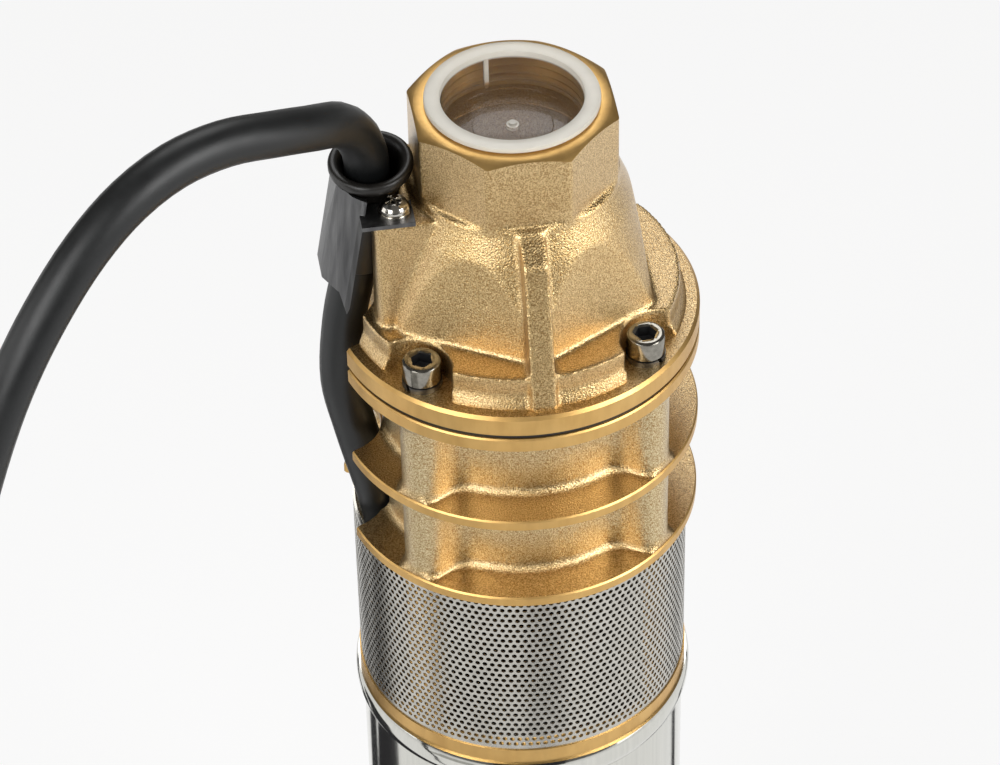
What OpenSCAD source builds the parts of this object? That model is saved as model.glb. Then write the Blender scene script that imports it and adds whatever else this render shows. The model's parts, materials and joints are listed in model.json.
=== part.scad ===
// Borehole submersible pump: a brass peripheral pump end on an oil-filled motor.
// Millimetres, +Z up. The origin is the centre of the base, on the pump axis.
// The rib of the outlet casting faces -Y and the motor cable leaves at -X.

/* [Stack] */
// Height of the motor, from the base to the top edge of the steel casing
motor_h = 260; // [240:5:400]
// Height of the brass bracket rim that shows under the screen
bracket_rim_h = 5; // [3:0.5:9]
// Height of the suction screen
screen_h = 56.5; // [54:0.5:80]
// Height of the lower pump casing
lower_casing_h = 27; // [24:0.5:40]
// Height of the upper pump casing
upper_casing_h = 31.5; // [29:0.5:45]
// Thickness of the gasket under the outlet flange
gasket_t = 0.8; // [0.5:0.1:1.5]

/* [Pump casings] */
// Outer radius of the flanges
flange_r = 47.4; // [46.5:0.1:51]
// Thickness of the outlet flange
outlet_flange_t = 6.3; // [5:0.1:9]
// Thickness of the ring on top of the upper casing
top_ring_t = 4.2; // [3:0.1:6]
// Thickness of the middle flange
mid_flange_t = 3.2; // [2.4:0.1:5]
// Thickness of the bottom flange
bottom_flange_t = 3.1; // [2.4:0.1:5]
// Depth of the waists between the flanges, from the flange's edge
waist_inset = 10.9; // [9.5:0.1:12]
// Wall between the waist and the hollow inside the casings
waist_wall = 8; // [7.5:0.1:10]
// Distance of the screws from the flange's edge
bolt_inset = 7; // [6.8:0.1:8]
// Radius of the pillars round the screws
pillar_r = 6.2; // [5:0.1:7]
// Radius of the fillets beside the pillars
pillar_fillet_r = 8; // [5:0.5:10]
// Radius of the cable notch in the flanges
notch_r = 13; // [12:0.25:14]
// Distance of the notch centre outside the flange's edge
notch_out = 2.1; // [1.5:0.1:2.6]

/* [Outlet casting] */
// Inset of the raised pad from the flange's edge
pad_inset = 5.2; // [4:0.1:7]
// Height of the raised pad
pad_h = 8.5; // [5:0.5:12]
// Radial reach of the fillet at the foot of the pad
pad_fillet = 1.8; // [0.5:0.1:2.5]
// Radius of the screw pockets in the pad
pocket_r = 11; // [10.5:0.1:12]
// Distance of the pocket centres outside the screws
pocket_out = 5.5; // [5:0.1:5.5]
// Height of the bell, from the flange to the octagon
bell_h = 42; // [38:0.5:55]
// Inset of the bell's six flats from the screw circle, at the flange
bell_inset = 6.8; // [6.6:0.1:8]
// Inward lean of those flats from the flange to the octagon
bell_lean = 4.7; // [4:0.1:6]
// Inset of the bell's round foot from the screw circle
bell_foot_inset = 0.6; // [0:0.1:2]
// Inset of the bell from the screw circle half way up
bell_mid_inset = 6.9; // [6:0.1:7.6]
// Height of that middle radius above the flange
bell_mid_h = 23; // [18:0.5:28]
// Inset of the shoulder under the conical top of the bell from the screw circle
bell_shoulder_inset = 10.5; // [9.5:0.1:11.4]
// Height of the shoulder above the flange
bell_shoulder_h = 34.4; // [30:0.1:37]
// Radius of the bell where it meets the octagon
bell_neck_r = 26.8; // [25.5:0.1:27]
// Width across the flats of the octagon
oct_af = 50; // [48:0.5:54]
// Height of the octagon
oct_h = 21.7; // [15:0.1:30]
// Radius of the flat top inside the turned chamfer
oct_top_r = 24.4; // [23.5:0.1:25]
// Drop of the turned chamfer at the octagon's corners
oct_chamfer_h = 1.7; // [0.8:0.1:3]
// Thickness of the rib
rib_t = 6.4; // [4:0.2:9]
// Inset of the rib's foot from the flange's edge
rib_inset = 2.5; // [1.5:0.25:4.5]
// Radius of the knuckle at the top of the rib
rib_knuckle_r = 34.5; // [33:0.5:38]
// Height of the knuckle above the flange
rib_knuckle_h = 37.5; // [30:0.5:38]
// Drop of the rib's top from the octagon to the knuckle
rib_drop = 5.5; // [2:0.5:6]
// Distance of the cable boss's outer face from the pump axis
boss_x = 37.5; // [36.5:0.25:38]
// Half width of the cable boss
boss_half_w = 16.5; // [15.5:0.25:18]
// Height of the cable boss above the outlet flange
boss_h = 40.9; // [38:0.1:44]
// Radius of the boss's upright corners
boss_corner_r = 3; // [1:0.5:5]

/* [Outlet thread] */
// Minor radius of the outlet thread, for a G 1 1/4 pipe
thread_minor_r = 19.476; // [15:0.001:21]
// Length of the thread
thread_len = 16; // [12:0.5:24]
// Radius of the plain lead-in above the thread
lead_in_r = 21.05; // [20:0.05:22]
// Depth of the lead-in
lead_in_h = 10; // [8:0.5:14]

/* [Thread cap] */
// Outer radius of the cap's ring
cap_ring_r = 22; // [21.5:0.1:24]
// Thickness of the cap's ring
cap_ring_t = 1.6; // [1:0.1:3]
// Radius of the cap's recess
cap_bore_r = 17.9; // [14:0.1:19]
// Wall of the cap
cap_wall = 1.4; // [0.8:0.1:2]
// Depth of the recess
cap_depth = 9.5; // [6:0.5:9.5]

/* [Screws] */
// Radius of the long screws
screw_r = 3; // [2.5:0.5:3]
// Length of the long screws under the head
screw_len = 87; // [82:1:95]
// Radius of the screw heads
head_r = 5; // [4:0.25:5.5]
// Height of the screw heads
head_h = 6; // [4:0.5:8]
// Width across the flats of the hexagon sockets
socket_af = 5; // [3:0.5:6]
// Depth of the hexagon sockets
socket_h = 3.2; // [2:0.2:4]
// Radius of the spring washers
washer_r = 5.1; // [5:0.1:5.5]
// Thickness of the spring washers
washer_t = 1.6; // [1:0.1:2]
// Radial clearance of the screws in their holes
screw_gap = 0.4; // [0.2:0.1:0.8]

/* [Cable and clamp] */
// Diameter of the motor cable
cable_d = 11.4; // [9:0.2:12]
// Distance of the cable inside the boss's face, at the top of the boss
clamp_in = 0.4; // [0:0.1:0.8]
// Lean of the clamped cable, as sideways run for each unit of rise
cable_lean = 0.17; // [0.15:0.01:0.2]
// Outer radius of the rubber sleeve
sleeve_r = 7.5; // [7.2:0.1:8]
// Reach of the sleeve above the top of the boss
sleeve_up = 9.6; // [8.5:0.1:10]
// Outer radius of the sleeve's collar above the clamp
collar_r = 10; // [9.4:0.1:10]
// Reach of the sleeve below the top of the boss
sleeve_down = 22; // [15:0.5:24]
// Thickness of the clamp's sheet
clamp_t = 1.2; // [0.8:0.1:2]
// Reach of the hood above the top of the boss
hood_up = 5; // [3:0.5:5]
// Reach of the hood below the top of the boss
hood_down = 25; // [20:0.5:28]
// Half width of the hood at its edges
hood_half_w = 12.2; // [11.5:0.1:13]
// Distance of those edges outside the cable's axis
hood_edge = 2.3; // [2:0.1:3]
// Length of the pointed tails under the hood
tail_h = 6; // [3:0.5:10]
// Distance of the clamp screws from the pump axis along X
clamp_screw_x = 31.8; // [31:0.1:32.2]
// Distance of the clamp screws from the middle plane
clamp_screw_y = 11.5; // [11.3:0.1:12]
// Radius of the clamp screws
clamp_screw_r = 2; // [1.5:0.25:2]
// Radius of the clamp screws' pan heads
clamp_head_r = 3.8; // [3:0.1:4]
// Height of the pan heads
clamp_head_h = 2.6; // [2:0.1:3.5]
// Radius of the flat washers under the pan heads
clamp_washer_r = 4.2; // [3.9:0.1:4.3]
// Thickness of the flat washers
clamp_washer_t = 0.8; // [0.5:0.1:1.2]

/* [Screen and bracket] */
// Inset of the suction screen from the flange's edge
screen_inset = 2.65; // [1.5:0.05:2.7]
// Thickness of the screen's sheet
screen_t = 0.6; // [0.4:0.1:0.8]
// Inset of the bracket rim from the casing's bead
bracket_inset = 1.2; // [0:0.1:1.5]
// Height of the step that centres the screen
screen_step_h = 4; // [2:0.5:8]
// Radius of the seal neck
neck_r = 18; // [16:0.5:20]
// Height of the seal neck above the steel casing
neck_h = 30; // [26:0.5:34]
// Height of the bracket's spigot inside the casing
spigot_h = 14; // [13:0.5:20]
// Depth of the screw threads in the bracket pillars
pillar_thread_h = 24; // [22:1:28]
// Distance of the cable gland inside the screen
gland_inset = 9.15; // [9:0.05:10]
// Height of the gland nut
gland_nut_h = 12; // [8:0.5:16]

/* [Motor] */
// Inset of the steel casing from the screen
casing_inset = 0.35; // [0:0.05:1]
// Thickness of the steel casing
casing_t = 1; // [0.8:0.1:1.4]
// Reach of the rolled bead beyond the casing
bead_out = 1.9; // [1.2:0.1:3]
// Height of the rolled bead
bead_h = 9; // [6:0.5:14]
// Height of the bottom cover's rim
cover_rim_h = 4; // [3:0.5:8]
// Height of the bottom cover's spigot
cover_spigot_h = 10; // [9:0.5:16]
// Thickness of the lower bracket's plate
lower_plate_t = 10; // [8:0.5:14]
// Length of the stator and rotor stacks
stack_len = 120; // [90:5:130]
// Bore radius of the stator
stator_bore_r = 24.2; // [22:0.1:27]
// Air gap between rotor and stator
air_gap = 0.5; // [0.4:0.1:1]
// Overhang of the windings at each end
winding_h = 24; // [12:1:26]

/* [Shaft and impeller] */
// Shaft radius in the rotor
shaft_rotor_r = 10; // [9.5:0.5:12]
// Shaft radius in the upper bearing
upper_journal_r = 8.5; // [8.5:0.1:9]
// Shaft radius in the lower bearing
lower_journal_r = 7.5; // [6.5:0.5:8]
// Shaft radius in the mechanical seal
seal_shaft_r = 8; // [7.5:0.1:8.4]
// Shaft radius in the impeller
impeller_shaft_r = 7; // [6:0.5:7]
// Radius of the threaded shaft end
shaft_end_r = 4; // [3:0.5:5]
// Radial gap between the impeller and the hollow above it
impeller_inset = 1; // [0.5:0.1:4]
// Thickness of the impeller
impeller_t = 13; // [10:0.5:13.5]
// Clearance round the impeller
impeller_gap = 0.5; // [0.4:0.1:1]
// Number of vanes on each side of the impeller
vanes = 32; // [24:2:36]
// Radial depth of the cells between the vanes
vane_h = 6; // [4:0.5:8]
// Clearance of turning parts in the holes they pass
running_gap = 0.4; // [0.3:0.1:0.6]

/* [Hidden] */
$fn = 96;

// Heights of the stacked pieces above the base
z_screen = motor_h + bracket_rim_h;
z_bottom_flange = z_screen + screen_h;
z_split = z_bottom_flange + lower_casing_h;
z_joint = z_split + upper_casing_h;
z_outlet_base = z_joint + gasket_t;
z_flange_top = z_outlet_base + outlet_flange_t;
z_pad_top = z_flange_top + pad_h;
z_boss_top = z_flange_top + boss_h;
z_oct = z_flange_top + bell_h;
z_outlet = z_oct + oct_h;
z_cover_top = cover_rim_h + cover_spigot_h;
z_lower_plate = z_cover_top + lower_plate_t;

// Radii and places that follow from the flange, its screws and the boss
bolt_circle_r = flange_r - bolt_inset;
notch_x = flange_r + notch_out;
waist_r = flange_r - waist_inset;
pump_bore_r = waist_r - waist_wall;
screen_r = flange_r - screen_inset;
screen_in_r = screen_r - screen_t;
gland_x = screen_in_r - gland_inset;
casing_r = screen_r - casing_inset;
impeller_r = pump_bore_r - impeller_inset;
bell_flat = bolt_circle_r - bell_inset;
bell_foot_r = bolt_circle_r - bell_foot_inset;
bell_mid_r = bolt_circle_r - bell_mid_inset;
bell_shoulder_r = bolt_circle_r - bell_shoulder_inset;
pad_r = flange_r - pad_inset;
pocket_x = bolt_circle_r + pocket_out;
rib_foot_r = flange_r - rib_inset;
clamp_x = boss_x - clamp_in;
bead_r = casing_r + bead_out;
bracket_r = bead_r - bracket_inset;

// Small gaps and overlaps used all over
through = 1;
seat_gap = 0.1;

// Fillet beside a pillar: its circle touches the waist and the pillar
fillet_bite = 0.1;
fillet_to_axis = waist_r + pillar_fillet_r;
fillet_to_pillar = pillar_r + pillar_fillet_r;
fillet_x = (fillet_to_axis^2 - fillet_to_pillar^2 + bolt_circle_r^2) / (2 * bolt_circle_r);
fillet_y = sqrt(fillet_to_axis^2 - fillet_x^2);
fillet_on_waist = [fillet_x, fillet_y] * waist_r / fillet_to_axis;
fillet_on_pillar = [bolt_circle_r, 0] + [fillet_x - bolt_circle_r, fillet_y] * pillar_r / fillet_to_pillar;

// Cable, its clamp line and its groove in the lower casing
cable_r = cable_d / 2;
cable_gap = 0.3;
lean_a = atan(cable_lean);
groove_gap = 0.9;
groove_inset = 6.55;
groove_x = screen_in_r - groove_inset;
groove_lean = 10.5;
clamp_wall_r = sleeve_r + cable_gap;
hood_out = clamp_wall_r + clamp_t;
collar_gap = 0.4;
flare_r = collar_r - 1.5;
flare_h = 14;
tab_x0 = 27.2;
tab_y1 = boss_half_w + 0.4;
screw_thread_h = 9;

// Pump end: impeller chamber, decks, ports and the o-ring between the casings
chamber_r = impeller_r + impeller_gap;
z_impeller = z_split + impeller_gap;
z_impeller_top = z_impeller + impeller_t;
z_chamber_top = z_impeller_top + impeller_gap;
discharge_h = 8;
lower_deck_t = 8.5;
nut_af = 13;
nut_h = 6;
nut_recess_r = 9;
nut_recess_h = nut_h + 0.6;
port_r = 5;
port_x = pump_bore_r - port_r - 3.5;
ring_r = waist_r - 4.5;
ring_wire_r = 1;
ring_depth = 5;
key_w = 4;
key_len = 10;
cell_w = 0.5 * 360 / vanes;
cell_t = 4.6;

// Bracket and bearings
casing_in_r = casing_r - casing_t;
spigot_r = casing_in_r - seat_gap;
z_spigot = motor_h - spigot_h;
z_bracket_deck = z_screen + screen_step_h;
z_neck = motor_h + neck_h;
upper_bearing_r = 20;
upper_bearing_w = 12;
upper_pitch_r = 14.2;
upper_ball_r = 3.2;
lower_bearing_r = 17.5;
lower_bearing_w = 11;
lower_pitch_r = 12.4;
lower_ball_r = 2.9;
upper_bearing = [upper_bearing_r, upper_bearing_w, upper_pitch_r, upper_ball_r];
lower_bearing = [lower_bearing_r, lower_bearing_w, lower_pitch_r, lower_ball_r];
ball_gap = 0.3;
race_t = 2.2;
balls = 8;
z_upper_bearing = z_spigot;
z_lower_bearing = z_cover_top + lower_plate_t + 4;
lower_hub_r = 24;
z_lower_hub = z_lower_bearing + lower_bearing[1] + 3;
seat_r = 13;
seat_h = 8;
lip_h = 6;
seal_head_h = 10;
seal_spring_h = 13.5;
spring_wire_r = 0.9;
circlip_t = 1.2;
gland_boss_h = 3;
gland_nut_r = cable_r + 2.4;
grommet_h = 10;
grommet_bore_r = 3;

// Motor
z_stack = (z_lower_hub + z_spigot - stack_len) / 2;
rotor_r = stator_bore_r - air_gap;
winding_in_r = stator_bore_r + 3;
winding_out_r = casing_in_r - 2.4;
end_ring_t = 6;
cover_screw_x = 33;
cover_screw_r = 2.5;
cover_head_r = 4.25;
cover_head_h = 5;
cover_screw_len = 14;
plug_r = 6;
plug_x = 16;
plug_h = 8;

// Cable route: up from the gland through the groove, the notches and the clamp, then over and down
z_gland = z_bracket_deck + gland_boss_h;
route_up = [[-gland_x, 0, z_gland], [-gland_x, 0, z_gland + 16], [-gland_x - 0.6, 0, z_gland + 32],
    [-groove_x, 0, z_bottom_flange], [-groove_x - lower_casing_h * tan(groove_lean) - 0.5, 0, z_split],
    [-46, 0, z_split + 18], [-44.7, 0, z_joint + 6]];
route_clamp = [for (h = [-25, -14.5, -4]) [cable_lean * h - clamp_x, 0, z_boss_top + h]];
route_arch = [for (p = [[-37.1, -1.7, 9.8], [-39.4, -6.1, 21.3], [-44.6, -13.1, 31.2], [-52, -21.7, 37.8],
    [-62, -29.8, 43.6], [-74, -37, 48.1], [-86.5, -44.5, 49.2], [-98, -51.8, 46.2], [-109, -59, 39],
    [-120, -66, 27], [-130.5, -71.5, 10], [-140, -75.5, -13], [-148, -78, -40], [-154, -79.5, -71],
    [-158.5, -80, -106]]) p + [0, 0, z_boss_top]];
route_drop = [for (k = [0:4]) [-161.5 - 1.2 * k, -80, 120 + (z_boss_top - 262) * (1 - k / 4)]];
route_foot = [[-166.5, -81, 90], [-166.5, -86, 62], [-166.5, -96, 40], [-166.5, -112, 25],
    [-166.5, -130, 18], [-166.5, -148, 17]];
cable_route = concat(route_up, route_clamp, route_arch, route_drop, route_foot);
// Coil on the floor in front of the motor, two turns wide and two high
coil_x = -95.5;
coil_y = -148;
coil_r = 65.3;
coil_turns_wide = 2;
coil_turns_high = 2;
tail_len = 50;
core_len = 34;
core_r = 1.5;
core_spread = 2.6;
ferrule_len = 9;
ferrule_r = 1;
tie_t = 1.2;
tie_w = 5;

brass = "#c9a25a";
bright_brass = "#d8b25e";
steel = "#c4c6c8";
dark_steel = "#6f7276";
rubber = "#202224";
copper = "#b5713c";

// A solid of revolution between two heights
module disc(r, z0, z1) {
    translate([0, 0, z0]) cylinder(r = r, h = z1 - z0);
}

// A ring between two heights
module ring(outer, inner, z0, z1) {
    difference() {
        disc(outer, z0, z1);
        disc(inner, z0 - through, z1 + through);
    }
}

// A round bar bent into a ring
module torus(radius, wire, z) {
    translate([0, 0, z]) rotate_extrude() translate([radius, 0]) circle(r = wire, $fn = 32);
}

// Whatever follows, at each of the four screws
module at_screws() {
    for (i = [0:3]) rotate(45 + 90 * i) translate([bolt_circle_r, 0, 0]) children();
}

// The cable notch through a flange
module notch(z0, z1) {
    translate([-notch_x, 0, 0]) disc(notch_r, z0 - through, z1 + through);
}

// The screw holes through a piece
module screw_holes(z0, z1) {
    at_screws() disc(screw_r + screw_gap, z0 - through, z1 + through);
}

// Whatever follows, along the leaning line of the clamped cable, with its zero at the boss top
module on_clamp_line() {
    translate([-clamp_x, 0, z_boss_top]) rotate([0, lean_a, 0]) children();
}

// A waist with four pillars and the concave fillets beside them
module waist(z0, z1) {
    disc(waist_r, z0, z1);
    at_screws() disc(pillar_r, z0, z1);
    for (i = [0:3]) rotate(45 + 90 * i) difference() {
        translate([0, 0, z0]) linear_extrude(z1 - z0) polygon([
            fillet_on_waist, fillet_on_pillar,
            [fillet_on_pillar.x, -fillet_on_pillar.y], [fillet_on_waist.x, -fillet_on_waist.y]]);
        for (side = [-1, 1]) translate([fillet_x, side * fillet_y, 0])
            disc(pillar_fillet_r + fillet_bite, z0 - through, z1 + through);
    }
}

// The raised pad with a pocket round each screw
module pad() {
    difference() {
        translate([0, 0, z_flange_top]) rotate_extrude() polygon([[0, -through],
            [pad_r + pad_fillet, -through], [pad_r + pad_fillet, 0], [pad_r, 2 * pad_fillet],
            [pad_r, pad_h], [0, pad_h]]);
        for (i = [0:3]) rotate(45 + 90 * i) translate([pocket_x, 0, 0])
            disc(pocket_r, z_flange_top, z_pad_top + through);
    }
}

// The bell: a turned form with six leaning flats, so that each flat ends in an arch
module bell() {
    slope = bell_lean / bell_h;
    intersection() {
        translate([0, 0, z_flange_top]) rotate_extrude() polygon([[0, -through], [bell_foot_r, -through],
            [bell_foot_r, 0], [bell_mid_r, bell_mid_h], [bell_shoulder_r, bell_shoulder_h],
            [bell_neck_r, bell_h], [bell_neck_r, bell_h + through], [0, bell_h + through]]);
        rotate(30) translate([0, 0, z_flange_top - 2 * through]) cylinder($fn = 6, h = bell_h + 4 * through,
            r1 = (bell_flat + 2 * through * slope) / cos(30),
            r2 = (bell_flat - bell_lean - 2 * through * slope) / cos(30));
    }
}

// The octagon with its turned chamfer
module octagon() {
    corner_r = oct_af / 2 / cos(22.5);
    slope = oct_chamfer_h / (corner_r - oct_top_r);
    intersection() {
        rotate(22.5) translate([0, 0, z_oct]) cylinder(r = corner_r, h = oct_h, $fn = 8);
        translate([0, 0, z_oct]) rotate_extrude() polygon([[0, 0], [corner_r + through, 0],
            [corner_r + through, oct_h - slope * (corner_r + through - oct_top_r)],
            [oct_top_r, oct_h], [0, oct_h]]);
    }
}

// The rib down the front of the bell
module rib() {
    rotate(-90) rotate([90, 0, 0]) translate([0, 0, -rib_t / 2]) linear_extrude(rib_t) polygon([
        [bell_neck_r - 4, z_flange_top - through], [rib_foot_r, z_flange_top - through],
        [rib_foot_r, z_flange_top], [rib_knuckle_r, z_flange_top + rib_knuckle_h],
        [bell_neck_r - 1, z_flange_top + rib_knuckle_h + rib_drop],
        [bell_neck_r - 4, z_flange_top + rib_knuckle_h + rib_drop]]);
}

// The upright boss that carries the cable clamp
module cable_boss() {
    depth = boss_x - bell_neck_r + 6;
    translate([-boss_x, 0, z_flange_top - through]) {
        translate([boss_corner_r, -boss_half_w, 0])
            cube([depth - boss_corner_r, 2 * boss_half_w, boss_h + through]);
        translate([0, boss_corner_r - boss_half_w, 0])
            cube([depth, 2 * (boss_half_w - boss_corner_r), boss_h + through]);
        for (side = [-1, 1]) translate([boss_corner_r, side * (boss_half_w - boss_corner_r), 0])
            cylinder(r = boss_corner_r, h = boss_h + through);
    }
}

// Water way through the outlet: lead-in, thread, and a cone down to the joint
module water_way() {
    translate([0, 0, z_outlet]) rotate_extrude() polygon([[0, through], [lead_in_r, through],
        [lead_in_r, -lead_in_h], [thread_minor_r, -lead_in_h], [thread_minor_r, -lead_in_h - thread_len],
        [pump_bore_r, z_flange_top + pad_h - z_outlet], [pump_bore_r, z_outlet_base - through - z_outlet],
        [0, z_outlet_base - through - z_outlet]]);
}

module outlet_casting() {
    color(brass) difference() {
        union() {
            disc(flange_r, z_outlet_base, z_flange_top);
            pad();
            bell();
            octagon();
            rib();
            cable_boss();
        }
        water_way();
        screw_holes(z_outlet_base, z_flange_top);
        notch(z_outlet_base, z_pad_top);
        on_clamp_line() translate([0, 0, -2 * boss_h]) cylinder(r = clamp_wall_r, h = 3 * boss_h);
        for (side = [-1, 1]) translate([-clamp_screw_x, side * clamp_screw_y, 0])
            disc(clamp_screw_r + seat_gap, z_boss_top - screw_thread_h - through, z_boss_top + through);
    }
}

module thread_cap() {
    top = cap_ring_t + seat_gap;
    color("#d9dde0", 0.6) translate([0, 0, z_outlet]) rotate_extrude() polygon([
        [0, top - cap_depth - cap_wall], [cap_bore_r + cap_wall, top - cap_depth - cap_wall],
        [cap_bore_r + cap_wall, seat_gap], [cap_ring_r, seat_gap], [cap_ring_r, top], [cap_bore_r, top],
        [cap_bore_r, top - cap_depth], [0, top - cap_depth]]);
}

module outlet_gasket() {
    inset = 0.8;
    color(rubber) difference() {
        ring(flange_r - inset, pump_bore_r + inset, z_joint, z_outlet_base);
        screw_holes(z_joint, z_outlet_base);
        translate([-notch_x, 0, 0]) disc(notch_r + inset, z_joint - through, z_outlet_base + through);
    }
}

module upper_casing() {
    color(brass) difference() {
        union() {
            waist(z_split, z_joint);
            disc(flange_r, z_joint - top_ring_t, z_joint);
            disc(flange_r, z_split, z_split + mid_flange_t);
        }
        disc(pump_bore_r, z_joint - discharge_h, z_joint + through);
        disc(chamber_r, z_split - through, z_chamber_top);
        disc(nut_recess_r, z_split, z_impeller_top + nut_recess_h);
        translate([port_x, 0, 0]) disc(port_r, z_split, z_joint);
        screw_holes(z_split, z_joint);
        notch(z_split, z_joint);
    }
}

module lower_casing() {
    color(brass) difference() {
        union() {
            waist(z_bottom_flange, z_split);
            disc(flange_r, z_bottom_flange, z_bottom_flange + bottom_flange_t);
        }
        disc(pump_bore_r, z_bottom_flange - through, z_split - lower_deck_t);
        disc(seal_shaft_r + running_gap, z_bottom_flange, z_split + through);
        rotate(120) translate([port_x, 0, 0]) disc(port_r, z_bottom_flange, z_split + through);
        ring(ring_r + ring_wire_r + seat_gap, ring_r - ring_wire_r - seat_gap,
            z_split - 2 * ring_wire_r, z_split + through);
        screw_holes(z_bottom_flange, z_split);
        notch(z_bottom_flange, z_split);
        translate([-groove_x, 0, z_bottom_flange]) rotate([0, -groove_lean, 0])
            translate([0, 0, -lower_casing_h]) cylinder(r = cable_r + groove_gap, h = 3 * lower_casing_h);
    }
}

module casing_o_ring() {
    color(rubber) torus(ring_r, ring_wire_r - seat_gap, z_split - ring_wire_r);
}

module flange_screws() {
    top = z_flange_top + washer_t + head_h;
    color(steel) at_screws() difference() {
        union() {
            disc(screw_r, z_flange_top + washer_t - screw_len, top - head_h / 2);
            disc(head_r, top - head_h, top);
        }
        translate([0, 0, top - socket_h])
            cylinder(r = socket_af / 2 / cos(30), h = socket_h + through, $fn = 6);
    }
}

module spring_washers() {
    split_w = 1;
    color(steel) at_screws() difference() {
        ring(washer_r, screw_r + screw_gap, z_flange_top, z_flange_top + washer_t);
        translate([0, -split_w / 2, z_flange_top - through]) rotate([20, 0, 0])
            cube([washer_r + through, split_w, 3 * washer_t + 2 * through]);
    }
}

// Half of the hood's section from its edge to the middle, where x runs outward
function hood_side(out, half_w, edge) = [[-edge, half_w], [-hood_edge - 1.3, half_w - 0.6],
    [-hood_edge - 3.4, half_w - 2.2], [-out, 0.37 * half_w]];

module hood_section(out, half_w, edge) {
    side = hood_side(out, half_w, edge);
    polygon(concat(side, [for (i = [3:-1:0]) [side[i].x, -side[i].y]]));
}

// The bent sheet of the hood between two heights on the clamp line
module hood_sheet(z0, z1) {
    translate([0, 0, z0]) linear_extrude(z1 - z0) difference() {
        hood_section(hood_out, hood_half_w, hood_edge);
        hood_section(hood_out - clamp_t, hood_half_w - clamp_t, hood_edge - through);
    }
}

module cable_clamp() {
    tab_len = clamp_x + hood_edge + clamp_t - tab_x0;
    color(steel) difference() {
        union() {
            on_clamp_line() {
                hood_sheet(-hood_down, hood_up);
                intersection() {
                    hood_sheet(-hood_down - tail_h, through - hood_down);
                    rotate([90, 0, 0]) linear_extrude(4 * hood_half_w, center = true) polygon([
                        [1 - hood_edge, through - hood_down], [-hood_edge - 3, through - hood_down],
                        [-hood_edge - 3, -hood_down], [-hood_edge - 0.5, -hood_down - tail_h],
                        [1 - hood_edge, -hood_down]]);
                }
            }
            for (side = [-1, 1]) translate([-tab_x0 - tab_len, side > 0 ? clamp_wall_r : -tab_y1, z_boss_top])
                cube([tab_len, tab_y1 - clamp_wall_r, clamp_t]);
        }
        for (side = [-1, 1]) translate([-clamp_screw_x, side * clamp_screw_y, 0])
            disc(clamp_screw_r + screw_gap, z_boss_top - through, z_boss_top + clamp_t + through);
    }
}

module clamp_screws() {
    z_head = z_boss_top + clamp_t + clamp_washer_t;
    cross_w = 1.1;
    cross_len = 4.4;
    cross_h = 1.5;
    color(steel) for (side = [-1, 1]) translate([-clamp_screw_x, side * clamp_screw_y, 0]) difference() {
        union() {
            disc(clamp_screw_r, z_boss_top - screw_thread_h, z_head + through);
            translate([0, 0, z_head]) rotate_extrude() polygon([[0, 0], [clamp_head_r, 0],
                [clamp_head_r, 0.4 * clamp_head_h], [0.86 * clamp_head_r, 0.78 * clamp_head_h],
                [0.5 * clamp_head_r, clamp_head_h], [0, clamp_head_h]]);
        }
        for (a = [25, 115]) translate([0, 0, z_head + clamp_head_h - cross_h]) rotate(a)
            translate([-cross_len / 2, -cross_w / 2, 0]) cube([cross_len, cross_w, cross_h + through]);
    }
}

module clamp_washers() {
    z0 = z_boss_top + clamp_t;
    color(steel) for (side = [-1, 1]) translate([-clamp_screw_x, side * clamp_screw_y, 0])
        ring(clamp_washer_r, clamp_screw_r + screw_gap, z0, z0 + clamp_washer_t);
}

module cable_sleeve() {
    z0 = hood_up + collar_gap;
    color(rubber) on_clamp_line() rotate_extrude() polygon([[cable_r + cable_gap, -sleeve_down],
        [sleeve_r, -sleeve_down], [sleeve_r, z0], [collar_r - 1, z0], [collar_r, z0 + 1],
        [collar_r, sleeve_up - 1], [collar_r - 0.7, sleeve_up], [flare_r, sleeve_up],
        [cable_r + cable_gap, sleeve_up - flare_h]]);
}

module suction_screen() {
    color(steel) ring(screen_r, screen_in_r, z_screen, z_bottom_flange);
}

module motor_bracket() {
    z_groove = motor_h - ring_depth;
    color(bright_brass) difference() {
        union() {
            disc(bracket_r, motor_h, z_screen);
            disc(screen_in_r - seat_gap, motor_h, z_bracket_deck);
            disc(neck_r, motor_h, z_neck);
            disc(spigot_r, z_spigot, motor_h + through);
            intersection() {
                union() {
                    at_screws() disc(pillar_r, motor_h, z_bottom_flange);
                    translate([-gland_x, 0, 0]) disc(gland_nut_r, motor_h, z_gland);
                }
                disc(screen_in_r - seat_gap, motor_h, z_bottom_flange);
            }
        }
        at_screws() disc(screw_r + seat_gap, z_bottom_flange - pillar_thread_h, z_bottom_flange + through);
        disc(seal_shaft_r + 2 * running_gap, z_spigot, z_neck + through);
        disc(seat_r, z_neck - seat_h - lip_h - through, z_neck + through);
        disc(upper_bearing[0] + seat_gap, z_spigot - through, z_upper_bearing + upper_bearing[1] + seat_gap);
        ring(spigot_r - 6, upper_bearing[0] + 4, z_spigot - through, motor_h - 2);
        translate([-gland_x, 0, 0]) disc(cable_r + cable_gap, z_gland - grommet_h, z_neck);
        translate([-gland_x, 0, 0]) disc(grommet_bore_r, z_spigot, z_neck);
        ring(spigot_r + through, spigot_r - 2 * ring_wire_r, z_groove - ring_wire_r, z_groove + ring_wire_r);
    }
}

module bracket_o_ring() {
    color(rubber) torus(spigot_r - ring_wire_r, ring_wire_r - seat_gap, motor_h - ring_depth);
}

module gland_nut() {
    color(bright_brass) translate([-gland_x, 0, 0]) difference() {
        translate([0, 0, z_gland]) rotate(30) cylinder(r = gland_nut_r, h = gland_nut_h, $fn = 6);
        disc(cable_r + cable_gap, z_gland - through, z_gland + gland_nut_h + through);
    }
}

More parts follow.
